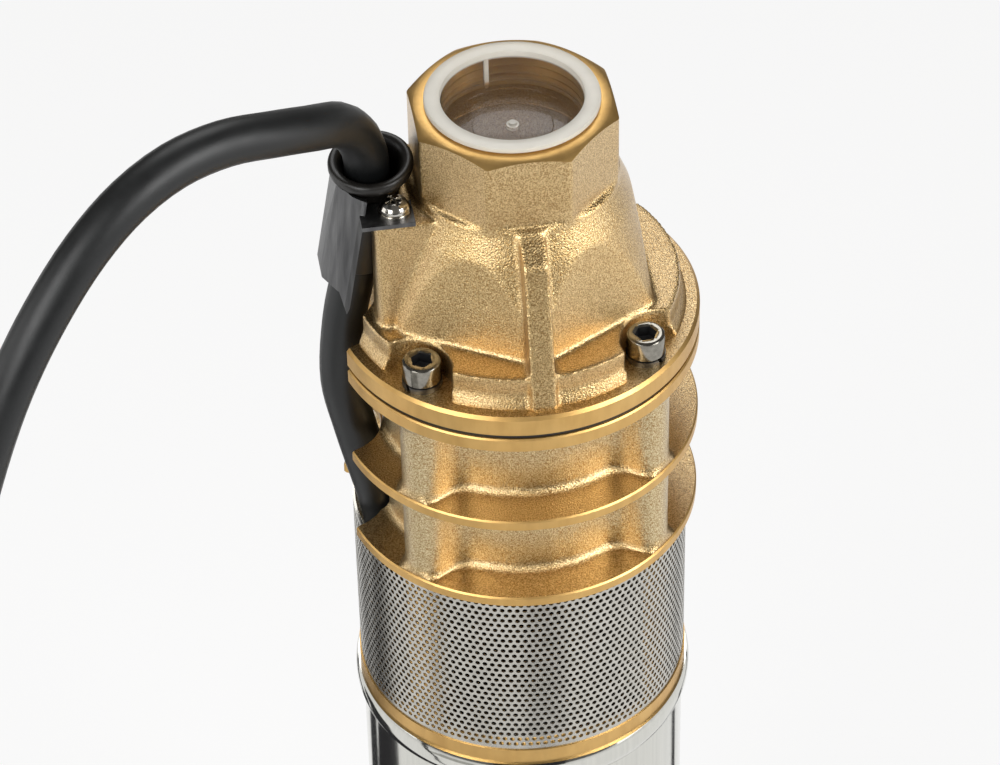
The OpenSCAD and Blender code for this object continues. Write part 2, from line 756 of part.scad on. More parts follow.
module gland_grommet() {
    color(rubber) translate([-gland_x, 0, 0])
        ring(cable_r + cable_gap - seat_gap, grommet_bore_r, z_gland - grommet_h, z_gland);
}

module motor_casing() {
    lip = 0.7;
    color(steel) rotate_extrude() polygon([[casing_in_r, cover_rim_h], [casing_r, cover_rim_h],
        [casing_r, motor_h - bead_h], [casing_r + lip, motor_h - 0.85 * bead_h],
        [bead_r - 0.2, motor_h - 0.68 * bead_h], [bead_r, motor_h - 0.5 * bead_h],
        [bead_r, motor_h - 0.25 * bead_h], [bead_r - 0.25, motor_h - 0.1 * bead_h],
        [bead_r - lip, motor_h], [casing_in_r, motor_h]]);
}

module stator_core() {
    color(dark_steel) ring(casing_in_r - seat_gap, stator_bore_r, z_stack, z_stack + stack_len);
}

module stator_windings() {
    crown = 4;
    color(copper) for (end = [0, 1]) translate([0, 0, z_stack + end * stack_len]) mirror([0, 0, 1 - end])
        rotate_extrude() polygon([[winding_in_r, 0], [winding_out_r, 0], [winding_out_r, winding_h - crown],
            [winding_out_r - crown, winding_h], [winding_in_r + crown, winding_h],
            [winding_in_r, winding_h - crown]]);
}

module lower_bracket() {
    color("#a9adb2") difference() {
        union() {
            disc(spigot_r, z_cover_top, z_lower_plate);
            disc(lower_hub_r, z_cover_top, z_lower_hub);
        }
        disc(lower_bearing[0] + seat_gap, z_lower_bearing, z_lower_hub + through);
        disc(lower_bearing[2], z_lower_bearing - 3, z_lower_hub);
        for (i = [0:3]) rotate(90 * i) translate([cover_screw_x, 0, 0])
            disc(cover_screw_r + seat_gap, z_cover_top - through, z_lower_plate - through);
    }
}

module bottom_cover() {
    z_groove = cover_rim_h + ring_depth;
    color(steel) difference() {
        union() {
            disc(casing_r, 0, cover_rim_h);
            disc(spigot_r, 0, z_cover_top);
        }
        for (i = [0:3]) rotate(90 * i) translate([cover_screw_x, 0, 0]) {
            disc(cover_screw_r + screw_gap, -through, z_cover_top + through);
            disc(cover_head_r + screw_gap, -through, cover_head_h + through);
        }
        translate([plug_x, 0, 0]) disc(plug_r + seat_gap, -through, plug_h + through);
        ring(spigot_r + through, spigot_r - 2 * ring_wire_r, z_groove - ring_wire_r, z_groove + ring_wire_r);
    }
}

module cover_o_ring() {
    color(rubber) torus(spigot_r - ring_wire_r, ring_wire_r - seat_gap, cover_rim_h + ring_depth);
}

module cover_screws() {
    z_head = cover_head_h + through;
    color(steel) for (i = [0:3]) rotate(90 * i) translate([cover_screw_x, 0, 0]) difference() {
        union() {
            disc(cover_screw_r, z_head - through, z_head + cover_screw_len);
            disc(cover_head_r, through, z_head);
        }
        cylinder(r = 2 / cos(30), h = 1 + cover_head_h / 2, $fn = 6);
    }
}

module oil_plug() {
    color(bright_brass) translate([plug_x, 0, 0]) difference() {
        disc(plug_r, through, plug_h + through);
        cylinder(r = 2.5 / cos(30), h = 1 + plug_h / 2, $fn = 6);
    }
}

// Ball bearing, given as [outer radius, width, pitch radius, ball radius]
module bearing_outer(size, z0) {
    color(steel) difference() {
        ring(size[0], size[2] + race_t, z0, z0 + size[1]);
        torus(size[2], size[3] + ball_gap, z0 + size[1] / 2);
    }
}

module bearing_inner(size, journal_r, z0) {
    color(steel) difference() {
        ring(size[2] - race_t, journal_r + seat_gap, z0, z0 + size[1]);
        torus(size[2], size[3] + ball_gap, z0 + size[1] / 2);
    }
}

module bearing_balls(size, z0) {
    color(steel) for (i = [0:balls - 1]) rotate(360 / balls * i)
        translate([size[2], 0, z0 + size[1] / 2]) sphere(r = size[3], $fn = 32);
}

module upper_bearing_outer() { bearing_outer(upper_bearing, z_upper_bearing); }

module upper_bearing_inner() { bearing_inner(upper_bearing, upper_journal_r, z_upper_bearing); }

module upper_bearing_balls() { bearing_balls(upper_bearing, z_upper_bearing); }

module lower_bearing_outer() { bearing_outer(lower_bearing, z_lower_bearing); }

module lower_bearing_inner() { bearing_inner(lower_bearing, lower_journal_r, z_lower_bearing); }

module lower_bearing_balls() { bearing_balls(lower_bearing, z_lower_bearing); }

module seal_seat() {
    color("#e8e4da") ring(seat_r - seat_gap, seal_shaft_r + running_gap, z_neck - seat_h, z_neck);
}

module lip_seal() {
    z1 = z_neck - seat_h;
    color(rubber) ring(seat_r - seat_gap, seal_shaft_r + running_gap, z1 - lip_h, z1);
}

module seal_head() {
    color(dark_steel) ring(seat_r, seal_shaft_r + seat_gap, z_neck + seat_gap, z_neck + seal_head_h);
}

module seal_spring() {
    turns = 4;
    steps = 14;
    radius = (seat_r + seal_shaft_r) / 2;
    z0 = z_neck + seal_head_h + spring_wire_r;
    rise = seal_spring_h - 2 * spring_wire_r;
    wire = [for (i = [0:turns * steps]) let (a = 360 * i / steps)
        [radius * cos(a), radius * sin(a), z0 + rise * i / (turns * steps)]];
    color(steel) swept(wire, spring_wire_r, 8, [0, 0, 1]);
}

module seal_circlip() {
    z0 = z_neck + seal_head_h + seal_spring_h;
    color(dark_steel) ring(seat_r - 1, seal_shaft_r + seat_gap, z0, z0 + circlip_t);
}

module shaft() {
    z_end = z_impeller_top + nut_h;
    z_upper = z_upper_bearing + upper_bearing[1];
    color("#b9bcc0") difference() {
        union() {
            disc(lower_journal_r, z_lower_bearing - 1, z_upper_bearing);
            disc(shaft_rotor_r, z_lower_bearing + lower_bearing[1], z_upper_bearing);
            disc(upper_journal_r, z_upper_bearing, z_upper);
            disc(seal_shaft_r, z_upper, z_impeller);
            disc(impeller_shaft_r, z_impeller, z_impeller_top);
            disc(shaft_end_r, z_impeller_top, z_end);
        }
        key_box(seat_gap);
    }
}

// The space that the impeller key fills, grown by a clearance
module key_box(gap) {
    z0 = z_impeller + (impeller_t - key_len) / 2;
    translate([impeller_shaft_r - key_w / 2 - gap, -key_w / 2 - gap, z0 - gap])
        cube([key_w + 2 * gap, key_w + 2 * gap, key_len + 2 * gap]);
}

module impeller() {
    color(bright_brass) difference() {
        disc(impeller_r, z_impeller, z_impeller_top);
        disc(impeller_shaft_r + seat_gap, z_impeller - through, z_impeller_top + through);
        key_box(seat_gap);
        for (i = [0:vanes - 1], low = [0, 1]) rotate(360 / vanes * i)
            translate([impeller_r - vane_h, 0, low ? z_impeller - through : z_impeller_top - cell_t])
                rotate(-cell_w / 2) cube([2 * vane_h, impeller_r * sin(cell_w), cell_t + through]);
    }
}

module impeller_key() {
    color(dark_steel) key_box(0);
}

module impeller_nut() {
    color(steel) translate([0, 0, z_impeller_top]) difference() {
        cylinder(r = nut_af / 2 / cos(30), h = nut_h, $fn = 6);
        disc(shaft_end_r + seat_gap, -through, nut_h + through);
    }
}

module rotor_core() {
    color(dark_steel) ring(rotor_r, shaft_rotor_r + seat_gap, z_stack, z_stack + stack_len);
}

module rotor_end_rings() {
    color("#c8ccd0") for (z0 = [z_stack - end_ring_t, z_stack + stack_len])
        ring(rotor_r - 1, rotor_r - 8, z0, z0 + end_ring_t);
}

// A tube swept along a list of points, with rings square to the path
function unit(v) = v / norm(v);
function heading(p, i) = i == 0 ? unit(p[1] - p[0])
    : i == len(p) - 1 ? unit(p[i] - p[i - 1])
    : unit(unit(p[i + 1] - p[i]) + unit(p[i] - p[i - 1]));

module swept(path, r, sides, up) {
    last = len(path) - 1;
    points = [for (i = [0:last]) let (t = heading(path, i), u = unit(cross(up, t)), v = cross(t, u))
        for (k = [0:sides - 1]) path[i] + r * (cos(360 * k / sides) * u + sin(360 * k / sides) * v)];
    walls = [for (i = [0:last - 1], k = [0:sides - 1]) let (n = (k + 1) % sides)
        [i * sides + k, (i + 1) * sides + k, (i + 1) * sides + n, i * sides + n]];
    polyhedron(points, concat(walls, [[for (k = [0:sides - 1]) k]],
        [[for (k = [sides - 1:-1:0]) last * sides + k]]), convexity = 6);
}

module cable() {
    color(rubber) swept(cable_route, cable_r, 12, [0.5, -0.87, 0]);
}

module cable_coil() {
    half_w = coil_turns_wide * cable_r;
    high = coil_turns_high * cable_d;
    corner = 0.6 * cable_r;
    color(rubber) translate([coil_x, coil_y, 0]) rotate_extrude() translate([coil_r, 0]) polygon([
        [corner - half_w, 0], [half_w - corner, 0], [half_w, corner], [half_w, high - corner],
        [half_w - corner, high], [corner - half_w, high], [-half_w, high - corner], [-half_w, corner]]);
}

// Where the cable leaves the coil, along +X
module at_tail() {
    translate([coil_x, coil_y - coil_r - cable_r, cable_r]) rotate([0, 90, 0]) children();
}

module cable_tail() {
    color(rubber) at_tail() cylinder(r = cable_r, h = tail_len);
}

// Whatever follows, at each of the four cores in the cable's end
module at_cores(z) {
    at_tail() for (i = [0:3]) rotate(45 + 90 * i) translate([core_spread, 0, z]) children();
}

module cable_cores() {
    color("#7a4a2c") at_cores(tail_len) cylinder(r = core_r, h = core_len, $fn = 32);
}

module core_ferrules() {
    color(steel) at_cores(tail_len + core_len) cylinder(r = ferrule_r, h = ferrule_len, $fn = 32);
}

module cable_tie() {
    in_w = 2 * coil_turns_wide * cable_r + 2 * cable_gap;
    in_h = coil_turns_high * cable_d + cable_gap;
    color(rubber) translate([coil_x, coil_y, 0]) rotate(40) translate([coil_r, -tie_w / 2, 0]) difference() {
        translate([-in_w / 2 - tie_t, 0, 0]) cube([in_w + 2 * tie_t, tie_w, in_h + tie_t]);
        translate([-in_w / 2, -through, -through]) cube([in_w, tie_w + 2 * through, in_h + through]);
    }
}

outlet_casting();
thread_cap();
outlet_gasket();
upper_casing();
lower_casing();
casing_o_ring();
flange_screws();
spring_washers();
cable_clamp();
clamp_screws();
clamp_washers();
cable_sleeve();
suction_screen();
motor_bracket();
bracket_o_ring();
gland_nut();
gland_grommet();
motor_casing();
stator_core();
stator_windings();
lower_bracket();
bottom_cover();
cover_o_ring();
cover_screws();
oil_plug();
upper_bearing_outer();
upper_bearing_inner();
upper_bearing_balls();
lower_bearing_outer();
lower_bearing_inner();
lower_bearing_balls();
seal_seat();
seal_head();
seal_spring();
seal_circlip();
lip_seal();
shaft();
impeller();
impeller_key();
impeller_nut();
rotor_core();
rotor_end_rings();
cable();
cable_coil();
cable_tail();
cable_tie();
cable_cores();
core_ferrules();
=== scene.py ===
# %% [markdown]
# # A borehole submersible pump
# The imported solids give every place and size. This script gives them their looks: sand-cast and
# turned brass, a perforated steel screen, a clear plastic cap, black rubber and a long motor cable.
# Shapes are drawn in millimetres, because that is how such a pump is drawn, and scaled once at the end.

import json
import math

import bmesh
import bpy
from mathutils import Euler, Matrix, Vector, noise


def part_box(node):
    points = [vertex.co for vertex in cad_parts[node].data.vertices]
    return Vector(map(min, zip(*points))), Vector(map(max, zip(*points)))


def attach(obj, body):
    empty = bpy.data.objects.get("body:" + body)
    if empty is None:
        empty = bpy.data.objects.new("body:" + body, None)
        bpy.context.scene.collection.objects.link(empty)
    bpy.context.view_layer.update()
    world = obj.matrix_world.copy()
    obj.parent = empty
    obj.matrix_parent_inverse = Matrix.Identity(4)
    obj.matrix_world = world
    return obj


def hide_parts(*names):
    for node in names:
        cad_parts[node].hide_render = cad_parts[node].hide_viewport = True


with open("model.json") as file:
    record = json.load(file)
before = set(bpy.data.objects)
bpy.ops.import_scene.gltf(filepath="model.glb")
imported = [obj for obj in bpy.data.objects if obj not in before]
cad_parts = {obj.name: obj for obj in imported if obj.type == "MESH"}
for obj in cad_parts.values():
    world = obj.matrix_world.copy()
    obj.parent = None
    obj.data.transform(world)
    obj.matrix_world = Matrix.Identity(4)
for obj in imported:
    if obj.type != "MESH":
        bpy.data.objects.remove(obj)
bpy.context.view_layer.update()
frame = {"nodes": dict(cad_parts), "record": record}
MM = 0.001
HOUSING = "housing"


def heights(node):
    """The lowest and the highest point of a node, in millimetres."""
    return [corner[2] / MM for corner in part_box(node)]


def half_width(node):
    """How far a node reaches from the pump's axis along x, in millimetres."""
    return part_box(node)[1][0] / MM


z_cover, z_motor = heights("motor_casing")
z_bottom = heights("lower_casing")[0]
z_split, z_joint = heights("upper_casing")
z_base, z_outlet = heights("outlet_casting")
z_flange = heights("spring_washers")[0]
flange_r = half_width("outlet_casting")
print("pump end:", round(z_bottom, 1), "to", round(z_outlet, 1), "mm; flange radius", round(flange_r, 2))

# %% [markdown]
# ## Camera
# The picture was taken with a long lens from above, a little to the left of the rib. The place, the
# heading and the focal length were worked out from the ellipses of the flanges, the screen and the cap.
# Three turns, one after the other, are easier to follow than one set of angles would be.

# %% Camera
CAMERA_PLACE = (-119.9, -783.5, 1059.3)
CAMERA_HEADING = 8.37
CAMERA_TILT = 41.52
CAMERA_ROLL = -1.27
CAMERA_LENS = 145.26
SENSOR_WIDTH = 36
FARTHEST_SEEN = 50


def placed(name, data):
    """A new object of the scene for a camera, lamp, curve or mesh."""
    made = bpy.data.objects.new(name, data)
    bpy.context.scene.collection.objects.link(made)
    return made


def turned(angle, axis):
    """A turn about an axis, from degrees."""
    return Matrix.Rotation(math.radians(angle), 4, axis)


def make_camera():
    """A camera at the photographer's place."""
    data = bpy.data.cameras.new("camera")
    data.sensor_fit = "HORIZONTAL"
    data.sensor_width = SENSOR_WIDTH
    data.lens = CAMERA_LENS
    data.clip_end = FARTHEST_SEEN
    camera = placed("camera", data)
    turn = turned(-CAMERA_HEADING, "Z") @ turned(90 - CAMERA_TILT, "X") @ turned(CAMERA_ROLL, "Z")
    camera.matrix_world = Matrix.Translation(Vector(CAMERA_PLACE) * MM) @ turn
    bpy.context.scene.camera = camera
    print("camera at", CAMERA_PLACE, "mm with a lens of", CAMERA_LENS)


make_camera()

# %% [markdown]
# ## Shader wires
# A material is a net of nodes, and its sums could be wired by hand. A small class that stands for an
# output lets those sums be written as sums, so a recipe can be read like a line of arithmetic.


# %% Shader wires
class Wire:
    """A shader output that adds, subtracts and multiplies like a number."""

    def __init__(self, paint, socket):
        self.paint = paint
        self.socket = socket

    def math(self, operation, *others):
        return self.paint.node("ShaderNodeMath", (self, *others), operation=operation)

    def swapped(self, operation, other):
        return self.paint.node("ShaderNodeMath", (other, self), operation=operation)

    def __add__(self, other):
        return self.math("ADD", other)

    def __sub__(self, other):
        return self.math("SUBTRACT", other)

    def __rsub__(self, other):
        return self.swapped("SUBTRACT", other)

    def __mul__(self, other):
        return self.math("MULTIPLY", other)

    def __pow__(self, other):
        return self.math("POWER", other)

    __radd__ = __add__
    __rmul__ = __mul__


print("wires: sums of shader outputs become Math nodes")

# %% [markdown]
# ## Paint
# One method adds any node, and short ones name the patterns that this pump needs. Every recipe then
# reads the same way: coordinates in millimetres first, then patterns, then the surface's sockets.


# %% Paint
class Paint:
    """A procedural material, with its patterns placed in millimetres on the object."""

    def __init__(self, name):
        self.material = bpy.data.materials.new(name)
        self.material.use_nodes = True
        self.tree = self.material.node_tree
        self.tree.nodes.clear()
        self.surface = self.tree.nodes.new("ShaderNodeBsdfPrincipled")
        self.output = self.tree.nodes.new("ShaderNodeOutputMaterial")
        self.tree.links.new(self.surface.outputs[0], self.output.inputs[0])
        metres = self.node("ShaderNodeTexCoord", output="Object")
        per_metre = (1 / MM, 1 / MM, 1 / MM)
        self.place = self.node("ShaderNodeVectorMath", (metres, per_metre), operation="MULTIPLY")
        self.x, self.y, self.z = (
            self.node("ShaderNodeSeparateXYZ", (self.place,), output=axis) for axis in range(3)
        )
        self.radius = (self.x * self.x + self.y * self.y) ** 0.5

    def node(self, kind, inputs=(), output=0, **settings):
        """Adds a node, feeds its inputs in order or by name, and returns one of its outputs."""
        made = self.tree.nodes.new(kind)
        for key, value in settings.items():
            setattr(made, key, value)
        pairs = inputs.items() if isinstance(inputs, dict) else enumerate(inputs)
        for key, value in pairs:
            self.feed(made.inputs[key], value)
        return Wire(self, made.outputs[output])

    def feed(self, socket, value):
        """Links a wire to a socket, or sets the socket to a plain value."""
        if isinstance(value, Wire):
            self.tree.links.new(value.socket, socket)
        else:
            socket.default_value = value

    def vector(self, x, y, z):
        return self.node("ShaderNodeCombineXYZ", (x, y, z))

    def noise(self, scale, detail=2.0, place=None):
        """Cloudy noise; scale is in waves per millimetre."""
        inputs = {"Vector": place or self.place, "Scale": scale, "Detail": detail}
        return self.node("ShaderNodeTexNoise", inputs)

    def streaks(self, across, along, detail=3.0):
        """Noise drawn out along the pump's axis, or round it where along is the larger."""
        place = self.vector(self.x * across, self.y * across, self.z * along)
        return self.noise(1.0, detail, place)

    def step(self, value, start, end, first=0.0, last=1.0):
        """Goes from first to last, without overshoot, as a value goes from start to end."""
        inputs = {"Value": value, "From Min": start, "From Max": end, "To Min": first, "To Max": last}
        return self.node("ShaderNodeMapRange", inputs)

    def until(self, value, start, end):
        """Falls from 1 to 0 as a value goes from start to end."""
        return self.step(value, start, end, 1.0, 0.0)

    def mix(self, factor, first, second):
        """A colour between two colours."""
        return self.node("ShaderNodeMix", {0: factor, 6: first, 7: second}, 2, data_type="RGBA")

    def bump(self, height, depth, strength=1.0):
        """A normal from a height; depth is in millimetres."""
        inputs = {"Height": height, "Distance": depth * MM, "Strength": strength}
        return self.node("ShaderNodeBump", inputs)

    def set(self, **sockets):
        """Feeds the surface's sockets, with words_like_this for their names."""
        for key, value in sockets.items():
            self.feed(self.surface.inputs[key.replace("_", " ").title().replace("Ior", "IOR")], value)
        return self.material

    def worn(self, cloud, dark, light, shine, dulled, **sockets):
        """A surface that goes from dark and shiny to light and dull as a pattern rises."""
        colour = self.mix(cloud, dark, light)
        return self.set(base_color=colour, roughness=shine + dulled * cloud, **sockets)

    def blend(self, factor, first, second):
        """Shows a second shader over a first one, as far as the factor says."""
        shown = self.node("ShaderNodeMixShader", (factor, first, second))
        self.feed(self.output.inputs[0], shown)
        return self.material


def rgb(red, green, blue):
    """A colour from screen values of 0 to 255."""
    screen = (red, green, blue)
    linear = [((v / 255 + 0.055) / 1.055) ** 2.4 if v > 10 else v / 255 / 12.92 for v in screen]
    return (*linear, 1.0)


print("paint: middle grey is", [round(value, 3) for value in rgb(128, 128, 128)])

# %% [markdown]
# ## Black rubber
# The cable, its sleeve and the seals are black rubber with a soft sheen, faint dust and a fine skin.
# The cable's jacket is darker and duller than the moulded sleeve. One recipe makes both, because they
# differ only in its values.

# %% Black rubber
SKIN_DEPTH = 0.03


def rubber(name, dust, skin, strength, dark, light, shine, dulled):
    """Rubber with dust and skin at so many waves per millimetre."""
    paint = Paint(name)
    relief = paint.bump(paint.noise(skin), SKIN_DEPTH, strength)
    return paint.worn(paint.noise(dust, 4.0), dark, light, shine, dulled, normal=relief)


finish = {
    "black_rubber": rubber("black_rubber", 0.35, 3.0, 0.5, rgb(13, 12, 11), rgb(30, 27, 23), 0.3, 0.16),
    "cable_jacket": rubber("cable_jacket", 0.18, 2.0, 0.4, rgb(7, 9, 10), rgb(16, 18, 19), 0.36, 0.18),
}
print("rubber:", ", ".join(finish))

# %% [markdown]
# ## Route of the cable
# The lead leaves its gland inside the screen, climbs through the groove and the notches to the clamp,
# arches over and hangs down beside the pump. What is left lies in a coil on the floor. The points are
# the ones that the solid cable follows. A smooth curve goes through them all, which a Bezier curve with
# automatic handles would do too, but this one makes no loops where the points are unevenly spaced.

# %% Route of the cable
CABLE_D = 11.4
CABLE_ROUTE = [
    (-35, 0, 272), (-35, 0, 288), (-35.6, 0, 304), (-37.6, 0, 321.5), (-43.1, 0, 348.5), (-46, 0, 366.5),
    (-44.7, 0, 386), (-41.35, 0, 403), (-39.57, 0, 413.5), (-37.78, 0, 424), (-37.1, -1.7, 437.8),
    (-39.4, -6.1, 449.3), (-44.6, -13.1, 459.2), (-52, -21.7, 465.8), (-62, -29.8, 471.6),
    (-74, -37, 476.1), (-86.5, -44.5, 477.2), (-98, -51.8, 474.2), (-109, -59, 467), (-120, -66, 455),
    (-130.5, -71.5, 438), (-140, -75.5, 415), (-148, -78, 388), (-154, -79.5, 357), (-158.5, -80, 322),
    (-161.5, -80, 286), (-162.7, -80, 244.5), (-163.9, -80, 203), (-165.1, -80, 161.5),
    (-166.3, -80, 120), (-166.5, -81, 90), (-166.5, -86, 62), (-166.5, -96, 40), (-166.5, -112, 25),
    (-166.5, -130, 18.5),
]
COIL_CENTRE, COIL_OUTER = (-95.5, -148), 71.0
COIL_START, COIL_END, COIL_STEP = 180, 1350, 18
STEP_IN, STEP_DOWN, STEP_OUT = (480, 540), (780, 840), (1080, 1140)


def eased(value, start, end):
    """Goes smoothly from 0 to 1 as a value goes from start to end."""
    share = min(max((value - start) / (end - start), 0.0), 1.0)
    return share * share * (3 - 2 * share)


def coil_point(angle):
    """The outer top turn steps in, then down, then out, so that the turns lie beside each other."""
    radius = COIL_OUTER - CABLE_D * (eased(angle, *STEP_IN) - eased(angle, *STEP_OUT))
    height = CABLE_D * (1.5 - eased(angle, *STEP_DOWN))
    turn = math.radians(angle)
    return (COIL_CENTRE[0] + radius * math.cos(turn), COIL_CENTRE[1] + radius * math.sin(turn), height)


def smooth_line(points, spacing):
    """A curve through all the points, without loops where they are unevenly spaced."""
    given = [Vector(point) for point in points]
    given = [2 * given[0] - given[1], *given, 2 * given[-1] - given[-2]]
    line = []
    for a, b, c, d in zip(given, given[1:], given[2:], given[3:]):
        t1 = (b - a).length ** 0.5
        t2 = t1 + (c - b).length ** 0.5
        t3 = t2 + (d - c).length ** 0.5
        count = max(1, round((c - b).length / spacing))
        for i in range(count):
            t = t1 + (t2 - t1) * i / count
            ab = a.lerp(b, t / t1)
            bc = b.lerp(c, (t - t1) / (t2 - t1))
            cd = c.lerp(d, (t - t2) / (t3 - t2))
            before, after = ab.lerp(bc, t / t2), bc.lerp(cd, (t - t1) / (t3 - t1))
            line.append(before.lerp(after, (t - t1) / (t2 - t1)))
    return [*line, given[-2]]


print("route:", len(CABLE_ROUTE), "points, then", (COIL_END - COIL_START) / 360, "turns of coil")

# %% [markdown]
# ## Motor cable
# The lead is one round rubber cable, from the gland to its bare end. A mesh tube would do, but a curve
# with a round bevel keeps the cable's diameter all along, and its length is summed from its points.

# %% Motor cable
TAIL_LENGTH, TAIL_SHARES = 50, (0.35, 0.7, 1.0)
CABLE_SPACING, CABLE_ROUNDNESS = 4.0, 6


def motor_cable():
    """The whole lead as one round curve."""
    coil = [coil_point(angle) for angle in range(COIL_START, COIL_END + 1, COIL_STEP)]
    tail = [(coil[-1][0] + TAIL_LENGTH * share, coil[-1][1], CABLE_D / 2) for share in TAIL_SHARES]
    line = smooth_line([*CABLE_ROUTE, *coil, *tail], CABLE_SPACING)
    curve = bpy.data.curves.new("motor_cable", "CURVE")
    curve.dimensions = "3D"
    curve.bevel_depth = CABLE_D / 2 * MM
    curve.bevel_resolution = CABLE_ROUNDNESS
    curve.use_fill_caps = True
    spline = curve.splines.new("POLY")
    spline.points.add(len(line) - 1)
    for point, place in zip(spline.points, line):
        point.co = (*(place * MM), 1.0)
    curve.materials.append(finish["cable_jacket"])
    cable = placed("motor_cable", curve)
    length = sum((b - a).length for a, b in zip(line, line[1:])) * MM
    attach(cable, HOUSING)
    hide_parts("cable", "cable_coil", "cable_tail")
    print("cable:", round(length, 3), "m in", len(line), "points")


motor_cable()

# %% [markdown]
# ## Brass
# The casting left its sand mould with a fine grain that glitters, because each facet of the grain
# mirrors a different part of the room. A real relief that fine would need millions of faces, so noise
# makes it as a bump and as dark specks. The casings' walls are painted paler than the corners above
# their flanges: painted light on the walls and painted shade in the corners. The turned faces carry the
# rings of a lathe tool, which follow height and radius, and below the pump end the inner ones are
# painted dark, as the shade inside the screen.

# %% Brass
SHADE_INSIDE_R = 42.0
CORNER_LOW, CORNER_HIGH, WALL_FADE = 3.6, 6.6, 0.2


def painted_light_on_wall(paint, z_foot, z_top):
    """Painted light: 1 on the wall of a casing between two joints, fading out in the shaded corner above
    its flange.
    """
    clean = paint.step(paint.z, z_foot + CORNER_LOW, z_foot + CORNER_HIGH)
    return clean * paint.until(paint.z, z_top - WALL_FADE, z_top)


def cast_brass():
    paint = Paint("cast_brass")
    broad = paint.noise(0.06, 3.0)
    grain = paint.noise(2.3, 2.0)
    specks = paint.step(paint.noise(2.9, 1.0), 0.34, 0.66)
    # Painted light and shade: the walls are painted paler, and the corners above the flanges keep the
    # darker skin.
    walls_painted_light = painted_light_on_wall(paint, z_split, z_joint) + painted_light_on_wall(paint, z_bottom, z_split)
    skin = paint.mix(broad, rgb(223, 192, 136), rgb(237, 211, 158))
    body = paint.mix(walls_painted_light, skin, rgb(229, 213, 170))
    return paint.set(
        base_color=paint.mix(specks, rgb(164, 127, 72), body),
        metallic=1.0,
        roughness=0.28 + 0.1 * specks,
        coat_weight=0.6,
        coat_roughness=0.3,
        normal=paint.bump(grain, 0.24, 0.8),
    )


def turned_brass():
    paint = Paint("turned_brass")
    rings = paint.noise(1.0, 2.0, paint.vector(0.0, 0.0, paint.z * 9.0 + paint.radius * 9.0))
    broad = paint.noise(0.1, 3.0)
    grain = paint.noise(1.6, 2.0)
    tarnish = paint.step(paint.streaks(0.3, 0.08), 0.4, 0.8, 0.0, 0.3)
    clean = paint.mix(broad, rgb(206, 163, 96), rgb(224, 186, 120))
    bright = paint.mix(tarnish, clean, rgb(158, 116, 62))
    # Below the pump end, inside the screen, the brass is painted dark and rougher: painted shade seen
    # through the holes.
    below = paint.until(paint.z, z_bottom - 0.4, z_bottom)
    shade_painted_inside = paint.until(paint.radius, SHADE_INSIDE_R, SHADE_INSIDE_R + 0.6) * below
    return paint.set(
        base_color=paint.mix(shade_painted_inside, bright, rgb(44, 35, 22)),
        metallic=1.0,
        roughness=0.28 + 0.12 * rings + 0.08 * grain + 0.2 * shade_painted_inside,
        normal=paint.bump(rings, 0.03, 0.6),
    )


finish |= {"cast_brass": cast_brass(), "turned_brass": turned_brass()}
print("brass: pale walls from", round(z_bottom + CORNER_LOW, 1), "to", round(z_joint, 1), "mm")

# %% [markdown]
# ## Sheet steel
# The motor's tube is polished along its length, the screen is satin sheet scratched round the pump, and
# the clamp is a darker strip whose light and dark bands along the pump are painted reflections. A brushed
# look could come from an anisotropic shader. Noise that is drawn out one way gives it as well, and can
# be baked for other programs.


# %% Sheet steel
def polished_steel():
    paint = Paint("polished_steel")
    lines = paint.streaks(0.8, 0.02)
    relief = paint.bump(lines, 0.02, 0.4)
    dark, light = rgb(196, 196, 190), rgb(218, 217, 210)
    return paint.worn(lines, dark, light, 0.06, 0.08, metallic=1.0, normal=relief)


def screen_steel():
    paint = Paint("screen_steel")
    scratches = paint.streaks(0.4, 7.0)
    broad = paint.noise(0.3, 2.0)
    return paint.set(
        base_color=paint.mix(broad, rgb(176, 173, 165), rgb(208, 205, 197)),
        metallic=1.0,
        roughness=0.2 + 0.14 * scratches,
        normal=paint.bump(scratches, 0.02, 0.5),
    )


def clamp_steel():
    paint = Paint("clamp_steel")
    lines = paint.streaks(2.2, 0.12)
    # Light and dark bands drawn out along the pump: painted reflections on the clamp.
    painted_reflection_bands = paint.streaks(0.5, 0.03)
    return paint.set(
        base_color=paint.mix(painted_reflection_bands, rgb(62, 62, 64), rgb(126, 126, 126)),
        metallic=1.0,
        roughness=0.26 + 0.2 * lines,
        normal=paint.bump(lines, 0.05, 0.6),
    )


sheet = {"polished_steel": polished_steel(), "screen_steel": screen_steel(), "stainless": clamp_steel()}
finish |= sheet
print("sheet steel:", ", ".join(sheet))

# %% [markdown]
# ## Screw steel
# Screws are bright on their heads and dark down in their sockets, where the dark is painted shade.
# Fingers leave smudges on all of them. The three differ only in colour and shine, so one recipe takes
# those as values.


# %% Screw steel
def smudged_steel(name, scale, dark, light, shine, dulled, metallic=1.0):
    """Steel whose colour and roughness change from smudge to smudge."""
    paint = Paint(name)
    return paint.worn(paint.noise(scale, 3.0), dark, light, shine, dulled, metallic=metallic)


screws = {
    "bright_steel": smudged_steel("bright_steel", 0.5, rgb(176, 172, 164), rgb(214, 210, 202), 0.1, 0.12),
    "socket_steel": smudged_steel("socket_steel", 0.7, rgb(104, 100, 92), rgb(170, 166, 156), 0.1, 0.12),
    "dark_steel": smudged_steel("dark_steel", 0.4, rgb(58, 58, 60), rgb(88, 88, 88), 0.34, 0.2, 0.9),
}
finish |= screws
print("screw steel:", ", ".join(screws))

# %% [markdown]
# ## Cap plastic
# The cap is clear plastic that turns milky where it is thick, in its ring. A milky dot at the gate in the
# middle of its floor and a milky strip up the wall at one angle are painted highlights, and a brown share
# on the floor is painted brass seen through it. Volume scatter could show the milky ring, but it is slow
# and noisy. So a clear shader and a milky one are blended by the place on the cap.

# %% Cap plastic
GATE_R, STREAK_ANGLE, STREAK_OUT, STREAK_HALF = 1.9, 102, 17.0, 0.7
FLOOR_SEEN, CLEAR_MILK = 1.8, 0.03


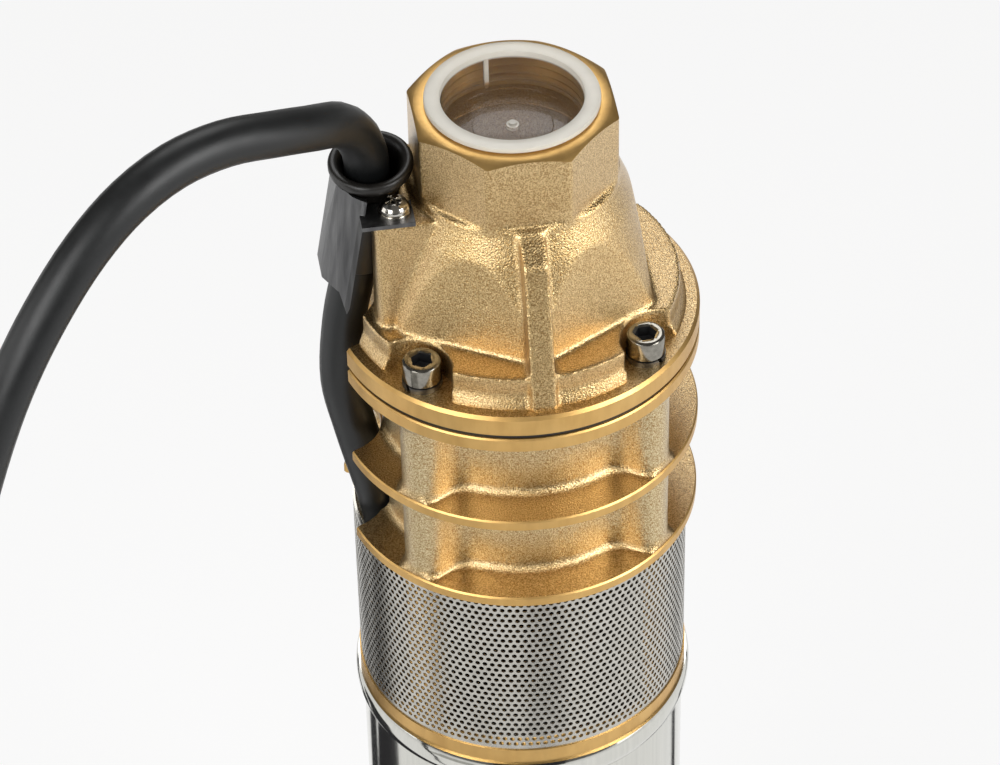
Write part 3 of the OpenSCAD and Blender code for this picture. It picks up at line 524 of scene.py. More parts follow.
def cap_plastic(z_floor, z_milky):
    paint = Paint("cap_plastic")
    cloud = paint.noise(0.2, 2.0)
    ring = paint.step(paint.z, z_milky - 0.6, z_milky + 0.2)
    # A milky dot at the gate: a painted highlight on the gate's nub.
    painted_gate_glint = paint.until(paint.radius, GATE_R - 0.4, GATE_R)
    floor = paint.until(paint.z, z_floor, z_floor + 0.6)
    # A milky strip up the wall at one angle: a painted highlight.
    turn = math.radians(STREAK_ANGLE)
    across = (paint.x * math.sin(turn) - paint.y * math.cos(turn)).math("ABSOLUTE")
    outwards = paint.x * math.cos(turn) + paint.y * math.sin(turn)
    painted_streak = paint.until(across, STREAK_HALF - 0.2, STREAK_HALF) * paint.step(outwards, STREAK_OUT, STREAK_OUT + 0.4)
    paint.set(
        base_color=(0.95, 0.93, 0.9, 1.0),
        roughness=0.03 + 0.04 * cloud,
        transmission_weight=1.0,
        ior=1.3,
    )
    white = paint.mix(cloud, rgb(216, 212, 201), rgb(230, 226, 215))
    # The floor's milk is tinted brown: painted brass seen through the floor.
    milk_and_painted_brass = paint.mix(floor * (1.0 - painted_gate_glint), white, rgb(166, 132, 94))
    milk = paint.node("ShaderNodeBsdfPrincipled", {"Base Color": milk_and_painted_brass, "Roughness": 0.35})
    milky_and_painted_glints = ring.math("MAXIMUM", painted_gate_glint * 0.8).math("MAXIMUM", painted_streak * 0.6)
    clear = Wire(paint, paint.surface.outputs[0])
    return paint.blend(milky_and_painted_glints * 0.76 + floor * 0.2 + CLEAR_MILK, clear, milk)


finish["cap_plastic"] = cap_plastic(heights("thread_cap")[0] + FLOOR_SEEN, z_outlet)
print("cap plastic: milky above", round(z_outlet, 1), "mm")

# %% [markdown]
# ## Parts inside
# Inside the motor are varnished copper windings, an aluminium rotor cage and a ceramic seal, and the
# cable's end shows four coloured cores. None is seen in the photograph, but a stranger may open the
# pump, so each has the look of its own stuff. Then every solid gets the finish that its record names.

# %% Parts inside
CORES_MIDDLE_Z, CORES_MIDDLE_Y = 5.5, 3.0


def varnished_copper():
    paint = Paint("varnished_copper")
    strands = paint.streaks(0.3, 3.0, 2.0)
    relief = paint.bump(strands, 0.2, 0.6)
    dark, light = rgb(120, 62, 28), rgb(186, 106, 54)
    return paint.worn(strands, dark, light, 0.35, 0.2, metallic=0.7, normal=relief)


def pale_ceramic():
    paint = Paint("pale_ceramic")
    return paint.worn(paint.noise(0.4, 2.0), rgb(222, 216, 202), rgb(236, 232, 222), 0.18, 0.1)


def cast_aluminium():
    paint = Paint("cast_aluminium")
    grain = paint.noise(1.2, 3.0)
    relief = paint.bump(grain, 0.1, 0.5)
    dark, light = rgb(176, 178, 182), rgb(204, 206, 210)
    return paint.worn(grain, dark, light, 0.35, 0.15, metallic=1.0, normal=relief)


def core_insulation():
    paint = Paint("core_insulation")
    y_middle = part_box("cable_cores")[0][1] / MM + CORES_MIDDLE_Y
    beside = paint.step(paint.y, y_middle, y_middle + 0.4)
    upper = paint.step(paint.z, CORES_MIDDLE_Z, CORES_MIDDLE_Z + 0.4)
    warm = paint.mix(upper, rgb(112, 66, 36), rgb(40, 40, 42))
    cool = paint.mix(upper, rgb(128, 130, 132), rgb(196, 170, 40))
    return paint.set(base_color=paint.mix(beside, warm, cool), roughness=0.45 + 0.05 * paint.noise(1.0))


finish |= {
    "copper_winding": varnished_copper(),
    "ceramic": pale_ceramic(),
    "aluminium": cast_aluminium(),
    "core_insulation": core_insulation(),
}
for subpart in frame["record"]["subparts"]:
    node = frame["nodes"][subpart["node"]]
    node.data.materials.clear()
    node.data.materials.append(finish[subpart["material_slot"]])
print("finishes:", ", ".join(finish))

# %% [markdown]
# ## Drawing a piece through loops
# A founder's pattern is a pile of outlines. A spin could turn the round pieces, but most outlines here
# have notches or flats. So a ring of points is placed on the first outline and extruded, edge by edge,
# to the next, and each new ring is put where that outline lies. A number on each point remembers its
# place in the ring.

# %% Drawing a piece through loops
CAST, TURNED = 0, 1


def worked_out(value, angle):
    """A size that may be a number or depend on the angle."""
    return value(angle) if callable(value) else value


def only(kind, made):
    """The items of one kind, such as points, among what an operator made."""
    return [item for item in made if isinstance(item, kind)]


def loft(bm, angles, loops, at=Matrix(), closed=False):
    """Extrudes a ring through loops of (reach, height, skin); a fourth item may place a loop by itself."""
    mark = bm.verts.layers.int.get("mark") or bm.verts.layers.int.new("mark")
    ring = bmesh.ops.create_circle(bm, segments=len(angles), radius=1.0)["verts"]
    for index, vert in enumerate(ring):
        vert[mark] = index
    edges = list({edge for vert in ring for edge in vert.link_edges})
    for number, (reach, height, skin, *own) in enumerate([*loops, *loops[:1]] if closed else loops):
        if number:
            made = bmesh.ops.extrude_edge_only(bm, edges=edges)["geom"]
            ring = only(bmesh.types.BMVert, made)
            fresh = set(ring)
            edges = [edge for edge in only(bmesh.types.BMEdge, made) if fresh.issuperset(edge.verts)]
            for face in only(bmesh.types.BMFace, made):
                face.material_index = skin
        for vert in ring:
            angle = angles[vert[mark]]
            out = worked_out(reach, angle)
            place = Vector((out * math.cos(angle), out * math.sin(angle), worked_out(height, angle)))
            vert.co = (own[0] if own else at) @ place


def degrees(start, end, step):
    """Angles from start up to end, in radians."""
    return [math.radians(start + step * i) for i in range(round((end - start) / step))]


print("loops: skin", CAST, "is as cast and skin", TURNED, "is turned")

# %% [markdown]
# ## Handing a piece over
# A drawing becomes a piece in the same few steps each time: merge the ends, turn the faces outwards,
# scale to metres, smooth all but the sharp edges, and hide the solids that it stands for. One
# helper does that, so no step is forgotten on any piece.

# %% Handing a piece over
MERGE_WITHIN = 0.004


def mesh_of(name, bm):
    """The mesh of a drawing that is then done with."""
    mesh = bpy.data.meshes.new(name)
    bm.to_mesh(mesh)
    bm.free()
    return mesh


def hand_over(name, bm, nodes, skins, crease=35.0, body=HOUSING):
    """Turns a drawing in millimetres into a finished piece that stands for CAD nodes."""
    bmesh.ops.remove_doubles(bm, verts=bm.verts, dist=MERGE_WITHIN)
    bmesh.ops.recalc_face_normals(bm, faces=bm.faces)
    bmesh.ops.scale(bm, vec=(MM, MM, MM), verts=bm.verts)
    open_edges = sum(edge.is_boundary for edge in bm.edges)
    triangles = sum(len(face.verts) - 2 for face in bm.faces)
    mesh = mesh_of(name, bm)
    for skin in skins:
        mesh.materials.append(finish[skin])
    mesh.shade_smooth()
    mesh.set_sharp_from_angle(angle=math.radians(crease))
    piece = placed(name, mesh)
    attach(piece, body)
    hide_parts(*nodes)
    print(name + ":", triangles, "triangles,", open_edges, "open edges")
    return piece


print("points closer than", MERGE_WITHIN, "mm are merged")

# %% [markdown]
# ## Outlines of the flanges and the waist
# Each flange is a disc with a round notch for the cable. The waist between two flanges is a drum with
# four pillars for the long screws, joined to it by hollow fillets. Cutting and joining cylinders would
# leave ragged faces. Measured from the axis, each outline is one distance per angle, so short functions
# of the angle give it exactly.

# %% Outlines of the flanges and the waist
NOTCH_X, NOTCH_R, NOTCH_WITHIN = 49.5, 13.0, 1.0
WAIST_R, PILLAR_OUT, PILLAR_R, HOLLOW_R = 36.5, 40.4, 6.2, 8.0
HOLLOW_OUT, HOLLOW_ANGLE, HOLLOW_END = 44.5, math.radians(18.45), math.radians(8.49)
CASTING_ANGLES = [
    *degrees(0, 163, 1),
    *degrees(163, 164.75, 0.5),
    *degrees(164.79, 195.5, 0.405),
    *degrees(195.5, 197, 0.5),
    *degrees(197, 360, 1),
]


def near_side(out, radius, turn):
    """Distance to the near side of a circle that lies out along a line, seen at a turn from that line."""
    inside = radius**2 - (out * math.sin(turn)) ** 2
    return out * math.cos(turn) - math.sqrt(inside) if inside > 0 else math.inf


def notched(reach, angle, out, radius):
    """A distance, or less where a round notch on the cable's side cuts in."""
    turn = math.remainder(angle - math.pi, math.tau)
    return min(reach, near_side(out, radius, turn)) if abs(turn) < NOTCH_WITHIN else reach


def flange(angle):
    """The edge of a flange with its cable notch."""
    return notched(flange_r, angle, NOTCH_X, NOTCH_R)


def waist(angle):
    """The drum with its pillars and the hollows beside them."""
    turn = abs(math.remainder(angle - math.pi / 4, math.pi / 2))
    if turn < HOLLOW_END:
        return PILLAR_OUT * math.cos(turn) + math.sqrt(PILLAR_R**2 - (PILLAR_OUT * math.sin(turn)) ** 2)
    return near_side(HOLLOW_OUT, HOLLOW_R, HOLLOW_ANGLE - turn) if turn < HOLLOW_ANGLE else WAIST_R


print("outlines:", len(CASTING_ANGLES), "angles")
print("flange", round(flange(0), 2), "mm, and", round(flange(math.pi), 2), "mm in the notch")

# %% [markdown]
# ## Skins of a casting
# A flange's rim is turned, with both corners broken. Its wall is as cast: slightly wavy from the sand
# and joined to the flange by a fillet. A bevel could round that corner, but at the notch the flange is
# too narrow for it, so the fillet is drawn as loops that stay inside the flange's edge.

# %% Skins of a casting
SAND_DEPTH, SAND_ROUND, SAND_UP = 0.14, 9, 0.25
RIM_CHAMFER, FILLET_STEPS, FILLET_INSET = 0.4, 6, 0.5


def sand(angle, height):
    """The slight waviness of a sand mould."""
    place = Vector((math.cos(angle), math.sin(angle), 0)) * SAND_ROUND
    return SAND_DEPTH * noise.noise(place + Vector((0, 0, height * SAND_UP)))


def rim(z0, z1, edge, chamfer=RIM_CHAMFER):
    """The turned edge of a flange, with both corners broken."""
    return [
        (lambda a: edge(a) - chamfer, z0, TURNED),
        (edge, z0 + chamfer, TURNED),
        (edge, z1 - chamfer, TURNED),
        (lambda a: edge(a) - chamfer, z1, TURNED),
    ]


def foot(z, side, radius, wall, edge):
    """The cast fillet where a wall stands on a flange, from the flange to the wall."""
    made = []
    for i in range(FILLET_STEPS + 1):
        turn = math.radians(90 / FILLET_STEPS * i)
        out, rise = radius * (1 - math.sin(turn)), radius * (1 - math.cos(turn))
        height = z + side * rise

        def reach(a, o=out, h=height):
            return min(wall(a) + o + sand(a, h), edge(a) - FILLET_INSET)

        made.append((reach, height, CAST))
    return made


def walls(z0, z1, wall, count=6):
    """The cast wall between two heights."""
    heights = [z0 + (z1 - z0) * i / count for i in range(1, count)]
    return [(lambda a, h=height: wall(a) + sand(a, h), height, CAST) for height in heights]


print("cast walls wave by", SAND_DEPTH, "mm; rims are broken by", RIM_CHAMFER, "mm")

# %% [markdown]
# ## Pump casings
# Two brass castings are clamped on each other: the upper one has a flange below and a ring above, and
# the lower one has a flange below and a leaning groove for the cable. Their rims are turned and smooth
# and the rest is as cast. A solid has one finish all over, so each casing is drawn again through loops,
# and each band of faces between two loops says which skin it has.

# %% Pump casings
MID_FLANGE, TOP_RING, BOTTOM_FLANGE = 3.2, 4.2, 3.1
FOOT_R, CEILING_R = 2.8, 1.6
BORE_R, CHAMBER_R, NUT_R, SHAFT_HOLE_R = 28.5, 28.0, 9.0, 8.4
CHAMBER_H, NUT_H, SPIGOT_H, DECK_T = 14, 20, 8, 8.5
GROOVE_X, GROOVE_R, GROOVE_LEAN = 37.6, 6.6, math.tan(math.radians(10.5))
JOINT_GAP, RISING_LOOPS = 0.02, 8
BRASS_SKINS = ["cast_brass", "turned_brass"]


def upper_casing():
    """The casing above the joint of the pump chamber."""
    z_low, z_high = z_split + MID_FLANGE, z_joint - TOP_RING
    z_nut, z_chamber, z_spigot = z_split + NUT_H, z_split + CHAMBER_H, z_joint - SPIGOT_H
    inside = [(0, z_nut, TURNED), (NUT_R, z_nut, TURNED), (NUT_R, z_chamber, TURNED)]
    inside += [(CHAMBER_R, z_chamber, TURNED), (CHAMBER_R, z_split, TURNED)]
    outside = [*rim(z_split, z_low, flange), *foot(z_low, 1, FOOT_R, waist, flange)]
    outside += walls(z_low + FOOT_R, z_high - CEILING_R, waist)
    outside += foot(z_high, -1, CEILING_R, waist, flange)[::-1]
    outside += rim(z_high, z_joint, flange)
    above = [(BORE_R, z_joint, TURNED), (BORE_R, z_spigot, TURNED), (0, z_spigot, CAST)]
    bm = bmesh.new()
    loft(bm, CASTING_ANGLES, [*inside, *outside, *above])
    hand_over("upper_casing_cast", bm, ["upper_casing"], BRASS_SKINS)


def grooved(edge, z):
    """An outline with the leaning cable groove cut into it at a height."""
    centre = GROOVE_X + (z - z_bottom) * GROOVE_LEAN
    return lambda angle: notched(edge(angle), angle, centre, GROOVE_R)


def lower_casing():
    """The casing with the suction flange and the cable groove."""
    z_low, z_deck = z_bottom + BOTTOM_FLANGE, z_split - DECK_T
    z_foot, z_top = z_low + FOOT_R, z_split - JOINT_GAP
    edge, wall = grooved(flange, z_bottom), grooved(waist, z_low)
    rising = []
    for i in range(1, RISING_LOOPS + 1):
        height = z_foot + (z_top - z_foot) * i / RISING_LOOPS
        groove = grooved(waist, height)
        rising.append((lambda a, g=groove, h=height: g(a) + sand(a, h), height, CAST))
    deck = [(SHAFT_HOLE_R, z_split, TURNED), (SHAFT_HOLE_R, z_deck, TURNED)]
    deck += [(BORE_R, z_deck, CAST), (BORE_R, z_bottom, TURNED)]
    outside = [*rim(z_bottom, z_low, edge), *foot(z_low, 1, FOOT_R, wall, edge), *rising]
    bm = bmesh.new()
    loft(bm, CASTING_ANGLES, [*deck, *outside], closed=True)
    hand_over("lower_casing_cast", bm, ["lower_casing"], BRASS_SKINS)


upper_casing()
lower_casing()

# %% [markdown]
# ## Softening a casting
# The solid outlet has all its forms with sharp edges, and a casting has none. A bevel can't round the
# many places where the bell, the rib and the pads meet. So a copy is remeshed in small cubes and
# smoothed, which rounds every edge and hollow by about a millimetre.

# %% Softening a casting
VOXEL, SMOOTHING_PASSES, SMOOTHING_FACTOR = 0.6, 5, 0.5
COPY_MERGE_WITHIN = 0.002


def copy_of(node):
    """A merged copy of a CAD node's mesh, in millimetres."""
    bm = bmesh.new()
    bm.from_mesh(frame["nodes"][node].data)
    bmesh.ops.scale(bm, vec=(1 / MM, 1 / MM, 1 / MM), verts=bm.verts)
    bmesh.ops.remove_doubles(bm, verts=bm.verts, dist=COPY_MERGE_WITHIN)
    return bm


def cut(bm, z, keep_above):
    """Cuts a shape level at a height and returns the open edges of the cut."""
    bmesh.ops.bisect_plane(
        bm,
        geom=[*bm.verts, *bm.edges, *bm.faces],
        plane_co=(0, 0, z),
        plane_no=(0, 0, 1),
        clear_inner=keep_above,
        clear_outer=not keep_above,
    )
    return [edge for edge in bm.edges if edge.is_boundary]


def softened(bm):
    """The shape after a remesh in small cubes and some smoothing."""
    mesh = mesh_of("pattern", bm)
    pattern = placed("pattern", mesh)
    remesh = pattern.modifiers.new("cubes", "REMESH")
    remesh.mode = "VOXEL"
    remesh.voxel_size = VOXEL
    smooth = pattern.modifiers.new("rounding", "SMOOTH")
    smooth.factor = SMOOTHING_FACTOR
    smooth.iterations = SMOOTHING_PASSES
    rounded = pattern.evaluated_get(bpy.context.evaluated_depsgraph_get()).to_mesh()
    soft = bmesh.new()
    soft.from_mesh(rounded)
    bpy.data.objects.remove(pattern)
    bpy.data.meshes.remove(mesh)
    print("softened:", len(soft.faces), "faces")
    return soft


# %% [markdown]
# ## Outlet casting
# The outlet is one casting: a turned flange, raised pads, a six-sided bell with a rib and a boss, and
# an octagon for the spanner, with a pipe thread inside. Its cast body is softened. The flange, the
# octagon and the thread stay crisp, so they are drawn through loops and closed by themselves.

# %% Outlet casting
OCTAGON_HALF, OCTAGON_CORNER, OCTAGON_TOP, OCTAGON_SLOPE = 25.0, 1.7, 24.4, 0.639
OCTAGON_PROUD, OCTAGON_H, OCTAGON_CUT, OCTAGON_LAP = 0.06, 21.7, 4.0, 1
THREAD_PITCH, THREAD_CREST, THREAD_ROOT, THREAD_TURNS = 2.309, 19.55, 20.95, 5
THREAD_MOUTH, MOUTH_DEPTH, THREAD_START = 21.4, 0.7, 1.2
CREST_FLAT, ROOT_END = 0.35, 1.5
BODY_ABOVE, BODY_ROOT, PLATE_CHAMFER = 0.02, 1.6, 0.8


def octagon(angle):
    """An octagon with rounded corners, measured from the axis."""
    turn = abs(math.remainder(angle, math.pi / 4))
    half = math.pi / 8
    if turn < math.atan((OCTAGON_HALF - OCTAGON_CORNER) * math.tan(half) / OCTAGON_HALF):
        return OCTAGON_HALF / math.cos(turn)
    out = (OCTAGON_HALF - OCTAGON_CORNER) / math.cos(half)
    return out * math.cos(half - turn) + math.sqrt(OCTAGON_CORNER**2 - (out * math.sin(half - turn)) ** 2)


def cast_body(z_cut):
    """The bell, the pads and the boss, rooted in the flange and cut off inside the octagon."""
    bm = copy_of("outlet_casting")
    rim_edges = cut(bm, z_flange + BODY_ABOVE, keep_above=True)
    made = bmesh.ops.extrude_edge_only(bm, edges=rim_edges)["geom"]
    bmesh.ops.translate(bm, vec=(0, 0, -BODY_ROOT), verts=only(bmesh.types.BMVert, made))
    root_edges = [edge for edge in bm.edges if edge.is_boundary]
    bmesh.ops.triangle_fill(bm, edges=root_edges, use_beauty=True)
    bmesh.ops.recalc_face_normals(bm, faces=bm.faces)
    bm = softened(bm)
    bmesh.ops.triangle_fill(bm, edges=cut(bm, z_cut, keep_above=False), use_beauty=True)
    for face in bm.faces:
        face.material_index = CAST
    return bm


def spanner_head(z_low):
    """Loops up the octagon, over its turned top and down the thread."""

    def side(angle):
        return octagon(angle) + OCTAGON_PROUD

    def z_chamfer(angle):
        return z_outlet - (octagon(angle) - OCTAGON_TOP) * OCTAGON_SLOPE

    head = [(THREAD_CREST, z_low, CAST), (side, z_low, CAST), (side, z_chamfer, CAST)]
    head += [(OCTAGON_TOP, z_outlet, TURNED), (THREAD_MOUTH, z_outlet, TURNED)]
    head.append((THREAD_ROOT, z_outlet - MOUTH_DEPTH, TURNED))
    for turn in range(THREAD_TURNS):
        top = z_outlet - THREAD_START - THREAD_PITCH * turn
        head += [(THREAD_CREST, top, TURNED), (THREAD_CREST, top - CREST_FLAT, TURNED)]
        head += [(THREAD_ROOT, top - THREAD_PITCH / 2, TURNED), (THREAD_ROOT, top - ROOT_END, TURNED)]
    return head


def outlet_casting():
    """The soft cast body, the turned flange and the octagon with its thread, as one piece."""
    z_cut = z_outlet - OCTAGON_H + OCTAGON_CUT
    bm = cast_body(z_cut)
    plate = [(BORE_R, z_base, TURNED), *rim(z_base, z_flange, flange, PLATE_CHAMFER)]
    loft(bm, CASTING_ANGLES, [*plate, (BORE_R, z_flange, CAST)], closed=True)
    loft(bm, degrees(0, 360, 1.25), spanner_head(z_cut - OCTAGON_LAP), closed=True)
    hand_over("outlet_casting_cast", bm, ["outlet_casting"], BRASS_SKINS)


outlet_casting()

# %% [markdown]
# ## Thread cap
# A soft plastic cup keeps dirt out of the outlet. It is moulded: a flat ring that rests on the casting,
# a thin wall, a floor with faint steps and, in the middle, the mark of the gate where the plastic came
# in. One profile turned about the axis holds all of that, so the loops are plain circles.

# %% Thread cap
CAP_RING_R, CAP_BORE_R, CAP_WALL, CAP_REST = 22.0, 17.9, 1.4, 0.1
STEP_OUTER, STEP_INNER, STEP_DEPTH = 15.2, 10.0, 0.2


def thread_cap():
    """The plastic cup, from the middle of its underside to the gate mark on its floor."""
    z0, z1 = heights("thread_cap")
    z_rest, z_floor, z_step = z_outlet + CAP_REST, z0 + CAP_WALL, z0 + CAP_WALL - STEP_DEPTH
    outer, ring, bore = CAP_BORE_R + CAP_WALL, CAP_RING_R, CAP_BORE_R
    profile = [(0, z0), (outer - 1, z0), (outer - 0.3, z0 + 0.3), (outer, z0 + 1), (outer, z_rest - 0.2)]
    profile += [(outer + 0.2, z_rest), (ring - 0.4, z_rest), (ring, z_rest + 0.4)]
    profile += [(ring, z1 - 0.5), (ring - 0.15, z1 - 0.15), (ring - 0.5, z1)]
    profile += [(bore + 0.5, z1), (bore + 0.1, z1 - 0.2), (bore, z1 - 0.6)]
    profile += [(bore - 0.1, z_floor + 0.8), (bore - 0.4, z_floor + 0.2), (bore - 1, z_floor)]
    profile += [(STEP_OUTER, z_floor), (STEP_OUTER - 0.2, z_step)]
    profile += [(STEP_INNER + 0.2, z_step), (STEP_INNER, z_floor)]
    profile += [(GATE_R, z_floor), (GATE_R - 0.2, z_floor + 0.2), (1.1, z_floor + 0.25)]
    profile += [(0.95, z_floor + 0.9), (0, z_floor + 1)]
    bm = bmesh.new()
    loft(bm, degrees(0, 360, 2.5), [(reach, height, 0) for reach, height in profile])
    hand_over("thread_cap_moulded", bm, ["thread_cap"], ["cap_plastic"], 30.0, "cap")


thread_cap()

# %% [markdown]
# ## Screws
# Four long screws with socket heads hold the outlet and both casings on the motor. A head is a short
# cylinder with rounded edges and a six-sided hole. Cutting the hole would leave long thin faces, so the
# loops go from the tip of the screw up round the head and down into the hole, where the outline changes
# from a circle to a hexagon.

# %% Screws
SCREW_R, SCREW_TIP, HEAD_R, HEAD_H = 3.0, 2.3, 4.9, 6
SOCKET_HALF, SOCKET_MOUTH, SOCKET_DEPTH, DRILL_DEPTH = 2.5, 3.2, 3.2, 0.9
SCREW_PLACES, SOCKET_TURN = (45, 135, 225, 315), 17


def hexagon(angle):
    return SOCKET_HALF / math.cos(math.remainder(angle, math.pi / 3))


def flange_screws():
    """The four socket screws."""
    z0, z1 = heights("flange_screws")
    z_head, z_socket = z1 - HEAD_H, z1 - SOCKET_DEPTH
    screw = [(0, z0, 0), (SCREW_TIP, z0, 0), (SCREW_R, z0 + 0.8, 0), (SCREW_R, z_head, 0)]
    screw += [(HEAD_R - 0.4, z_head, 0), (HEAD_R, z_head + 0.35, 0), (HEAD_R, z1 - 0.9, 0)]
    screw += [(HEAD_R - 0.12, z1 - 0.45, 0), (HEAD_R - 0.5, z1 - 0.08, 0), (HEAD_R - 0.8, z1, 0)]
    # The socket's inside, skin 1, is dark steel: painted shade down in the hole.
    screw += [(SOCKET_MOUTH, z1, 0), (hexagon, z1 - 0.3, 0), (hexagon, z_socket, 1)]
    screw.append((0, z_socket - DRILL_DEPTH, 1))
    bm = bmesh.new()
    for turn in SCREW_PLACES:
        at = turned(turn, "Z") @ Matrix.Translation((PILLAR_OUT, 0, 0)) @ turned(SOCKET_TURN, "Z")
        loft(bm, degrees(0, 360, 7.5), screw, at)
    hand_over("socket_screws", bm, ["flange_screws"], ["socket_steel", "dark_steel"], 30.0)


flange_screws()

# %% [markdown]
# ## Cable sleeve
# A rubber sleeve lies round the cable inside the clamp. Its collar stands out above the clamp and opens
# like a dish, and the cable pulls it over to the front. A bent tube would kink there, so the loops
# follow the leaning line of the clamp first, and then the collar's own tilted plane.

# %% Cable sleeve
CLAMP_X, CLAMP_Z, CLAMP_LEAN = 37.1, 428, math.atan(0.17)
SLEEVE_R, SLEEVE_BORE = 7.5, 5.95
COLLAR_PLACE, COLLAR_R, COLLAR_FORWARD, COLLAR_ASIDE = (-36.0, -0.8, 436.4), 10.7, 6, -2


def cable_sleeve():
    """The sleeve with its dished collar."""
    line = Matrix.Translation((-CLAMP_X, 0, CLAMP_Z)) @ Matrix.Rotation(CLAMP_LEAN, 4, "Y")
    dish = Matrix.Translation(COLLAR_PLACE) @ turned(COLLAR_FORWARD, "X") @ turned(COLLAR_ASIDE, "Y")
    tube = [(SLEEVE_BORE, -21.5), (SLEEVE_R - 0.4, -22), (SLEEVE_R, -21.5)]
    tube += [(SLEEVE_R, 2), (SLEEVE_R + 0.1, 4)]
    collar = [(SLEEVE_R + 0.8, -1.9), (COLLAR_R - 0.9, -1.5), (COLLAR_R - 0.2, -1.0), (COLLAR_R, -0.2)]
    collar += [(COLLAR_R, 0.9), (COLLAR_R - 0.25, 1.5), (COLLAR_R - 0.8, 1.8), (COLLAR_R - 1.7, 1.7)]
    collar += [(8.3, 1.2), (7.7, 0.2), (7.2, -2)]
    bore = [(SLEEVE_BORE + 0.5, -1), (SLEEVE_BORE, -8)]
    loops = []
    for profile, plane in ((tube, line), (collar, dish), (bore, line)):
        loops += [(reach, height, 0, plane) for reach, height in profile]
    bm = bmesh.new()
    loft(bm, degrees(0, 360, 5), loops, closed=True)
    hand_over("cable_sleeve_moulded", bm, ["cable_sleeve"], ["black_rubber"], 50.0)


cable_sleeve()

# %% [markdown]
# ## Suction screen
# Water enters through a steel sheet with staggered rows of small round holes. A picture of holes would
# look flat from the side, so they are real. One cell with its hole is drawn flat, repeated into a row
# and then into rows that are shifted by half a cell. The sheet is then bent round the pump and given
# its thickness, as the real strainer is rolled from punched sheet.

# %% Suction screen
SCREEN_COLUMNS, SCREEN_ROWS, SCREEN_T = 142, 29, 0.6
HOLE_R, HOLE_SIDES, CELL_TALL = 0.7, 8, 0.94
SCREEN_R = half_width("suction_screen")
CELL_W = math.tau * SCREEN_R / SCREEN_COLUMNS
CELL_H = CELL_W * CELL_TALL
CELL_CORNERS = [(-0.5, -0.5), (0, -0.5), (0.5, -0.5), (0.5, 0.5), (0, 0.5), (-0.5, 0.5)]
LEVEL_WITHIN, CELL_MERGE_WITHIN = 1e-4, 0.02


def screen_cell(bm):
    """One flat cell: a six-point outline round an eight-sided hole."""
    outline = [bm.verts.new((x * CELL_W, y * CELL_H, 0)) for x, y in CELL_CORNERS]
    edges = [bm.edges.new((a, b)) for a, b in zip(outline, outline[1:] + outline[:1])]
    hole = bmesh.ops.create_circle(bm, segments=HOLE_SIDES, radius=HOLE_R)["verts"]
    edges += list({edge for vert in hole for edge in vert.link_edges})
    bmesh.ops.triangle_fill(bm, edges=edges, use_beauty=True)


def repeated(bm, times, shift):
    """Copies all that is drawn so far; shift gives each copy's place from its number."""
    first = [*bm.verts, *bm.edges, *bm.faces]
    for number in range(1, times):
        made = bmesh.ops.duplicate(bm, geom=first)["geom"]
        bmesh.ops.translate(bm, vec=shift(number), verts=only(bmesh.types.BMVert, made))


def punched_sheet(height):
    """The flat sheet: rows of holes between two plain borders."""
    bm = bmesh.new()
    screen_cell(bm)
    repeated(bm, 2, lambda number: (CELL_W * number, 0, 0))
    repeated(bm, SCREEN_COLUMNS // 2, lambda number: (2 * CELL_W * number, 0, 0))
    repeated(bm, SCREEN_ROWS, lambda number: (CELL_W / 2 * (number % 2), CELL_H * number, 0))
    margin = (height - CELL_H * SCREEN_ROWS) / 2
    ends = [edge for edge in bm.edges if edge.is_boundary]
    for level, shift in ((-CELL_H / 2, -margin), (CELL_H * (SCREEN_ROWS - 0.5), margin)):
        border = [edge for edge in ends if all(abs(v.co.y - level) < LEVEL_WITHIN for v in edge.verts)]
        made = bmesh.ops.extrude_edge_only(bm, edges=border)["geom"]
        bmesh.ops.translate(bm, vec=(0, shift, 0), verts=only(bmesh.types.BMVert, made))
    bmesh.ops.translate(bm, vec=(0, margin + CELL_H / 2, 0), verts=bm.verts)
    return bm


def suction_screen():
    """The punched and rolled sheet."""
    z0, z1 = heights("suction_screen")
    bm = punched_sheet(z1 - z0)
    for vert in bm.verts:
        turn = vert.co.x / SCREEN_R
        vert.co = (SCREEN_R * math.cos(turn), SCREEN_R * math.sin(turn), z0 + vert.co.y)
    bmesh.ops.remove_doubles(bm, verts=bm.verts, dist=CELL_MERGE_WITHIN)
    bmesh.ops.recalc_face_normals(bm, faces=bm.faces)
    outward = sum(face.normal.dot(face.calc_center_median().xy.to_3d()) for face in bm.faces)
    if outward < 0:
        bmesh.ops.reverse_faces(bm, faces=bm.faces)
    bmesh.ops.solidify(bm, geom=bm.faces, thickness=SCREEN_T)
    hand_over("suction_screen_punched", bm, ["suction_screen"], ["screen_steel"], 30.0)


suction_screen()

# %% [markdown]
# ## Motor casing
# The motor sits in a polished steel tube whose top end is rolled outwards into a bead. The solid's bead
# is a plain step. Loops that are plain circles follow the tube up, swell over a soft bead as rolled
# sheet does, and come back down inside.

# %% Motor casing
CASING_R, CASING_T, TUBE_STEPS = 44.4, 1.0, 6
BEAD_OUT, BEAD_H, BEAD_STEPS, BEAD_FULL, BEAD_FALLS, BEAD_DROP = 1.9, 9.0, 16, 0.55, 0.72, 0.7


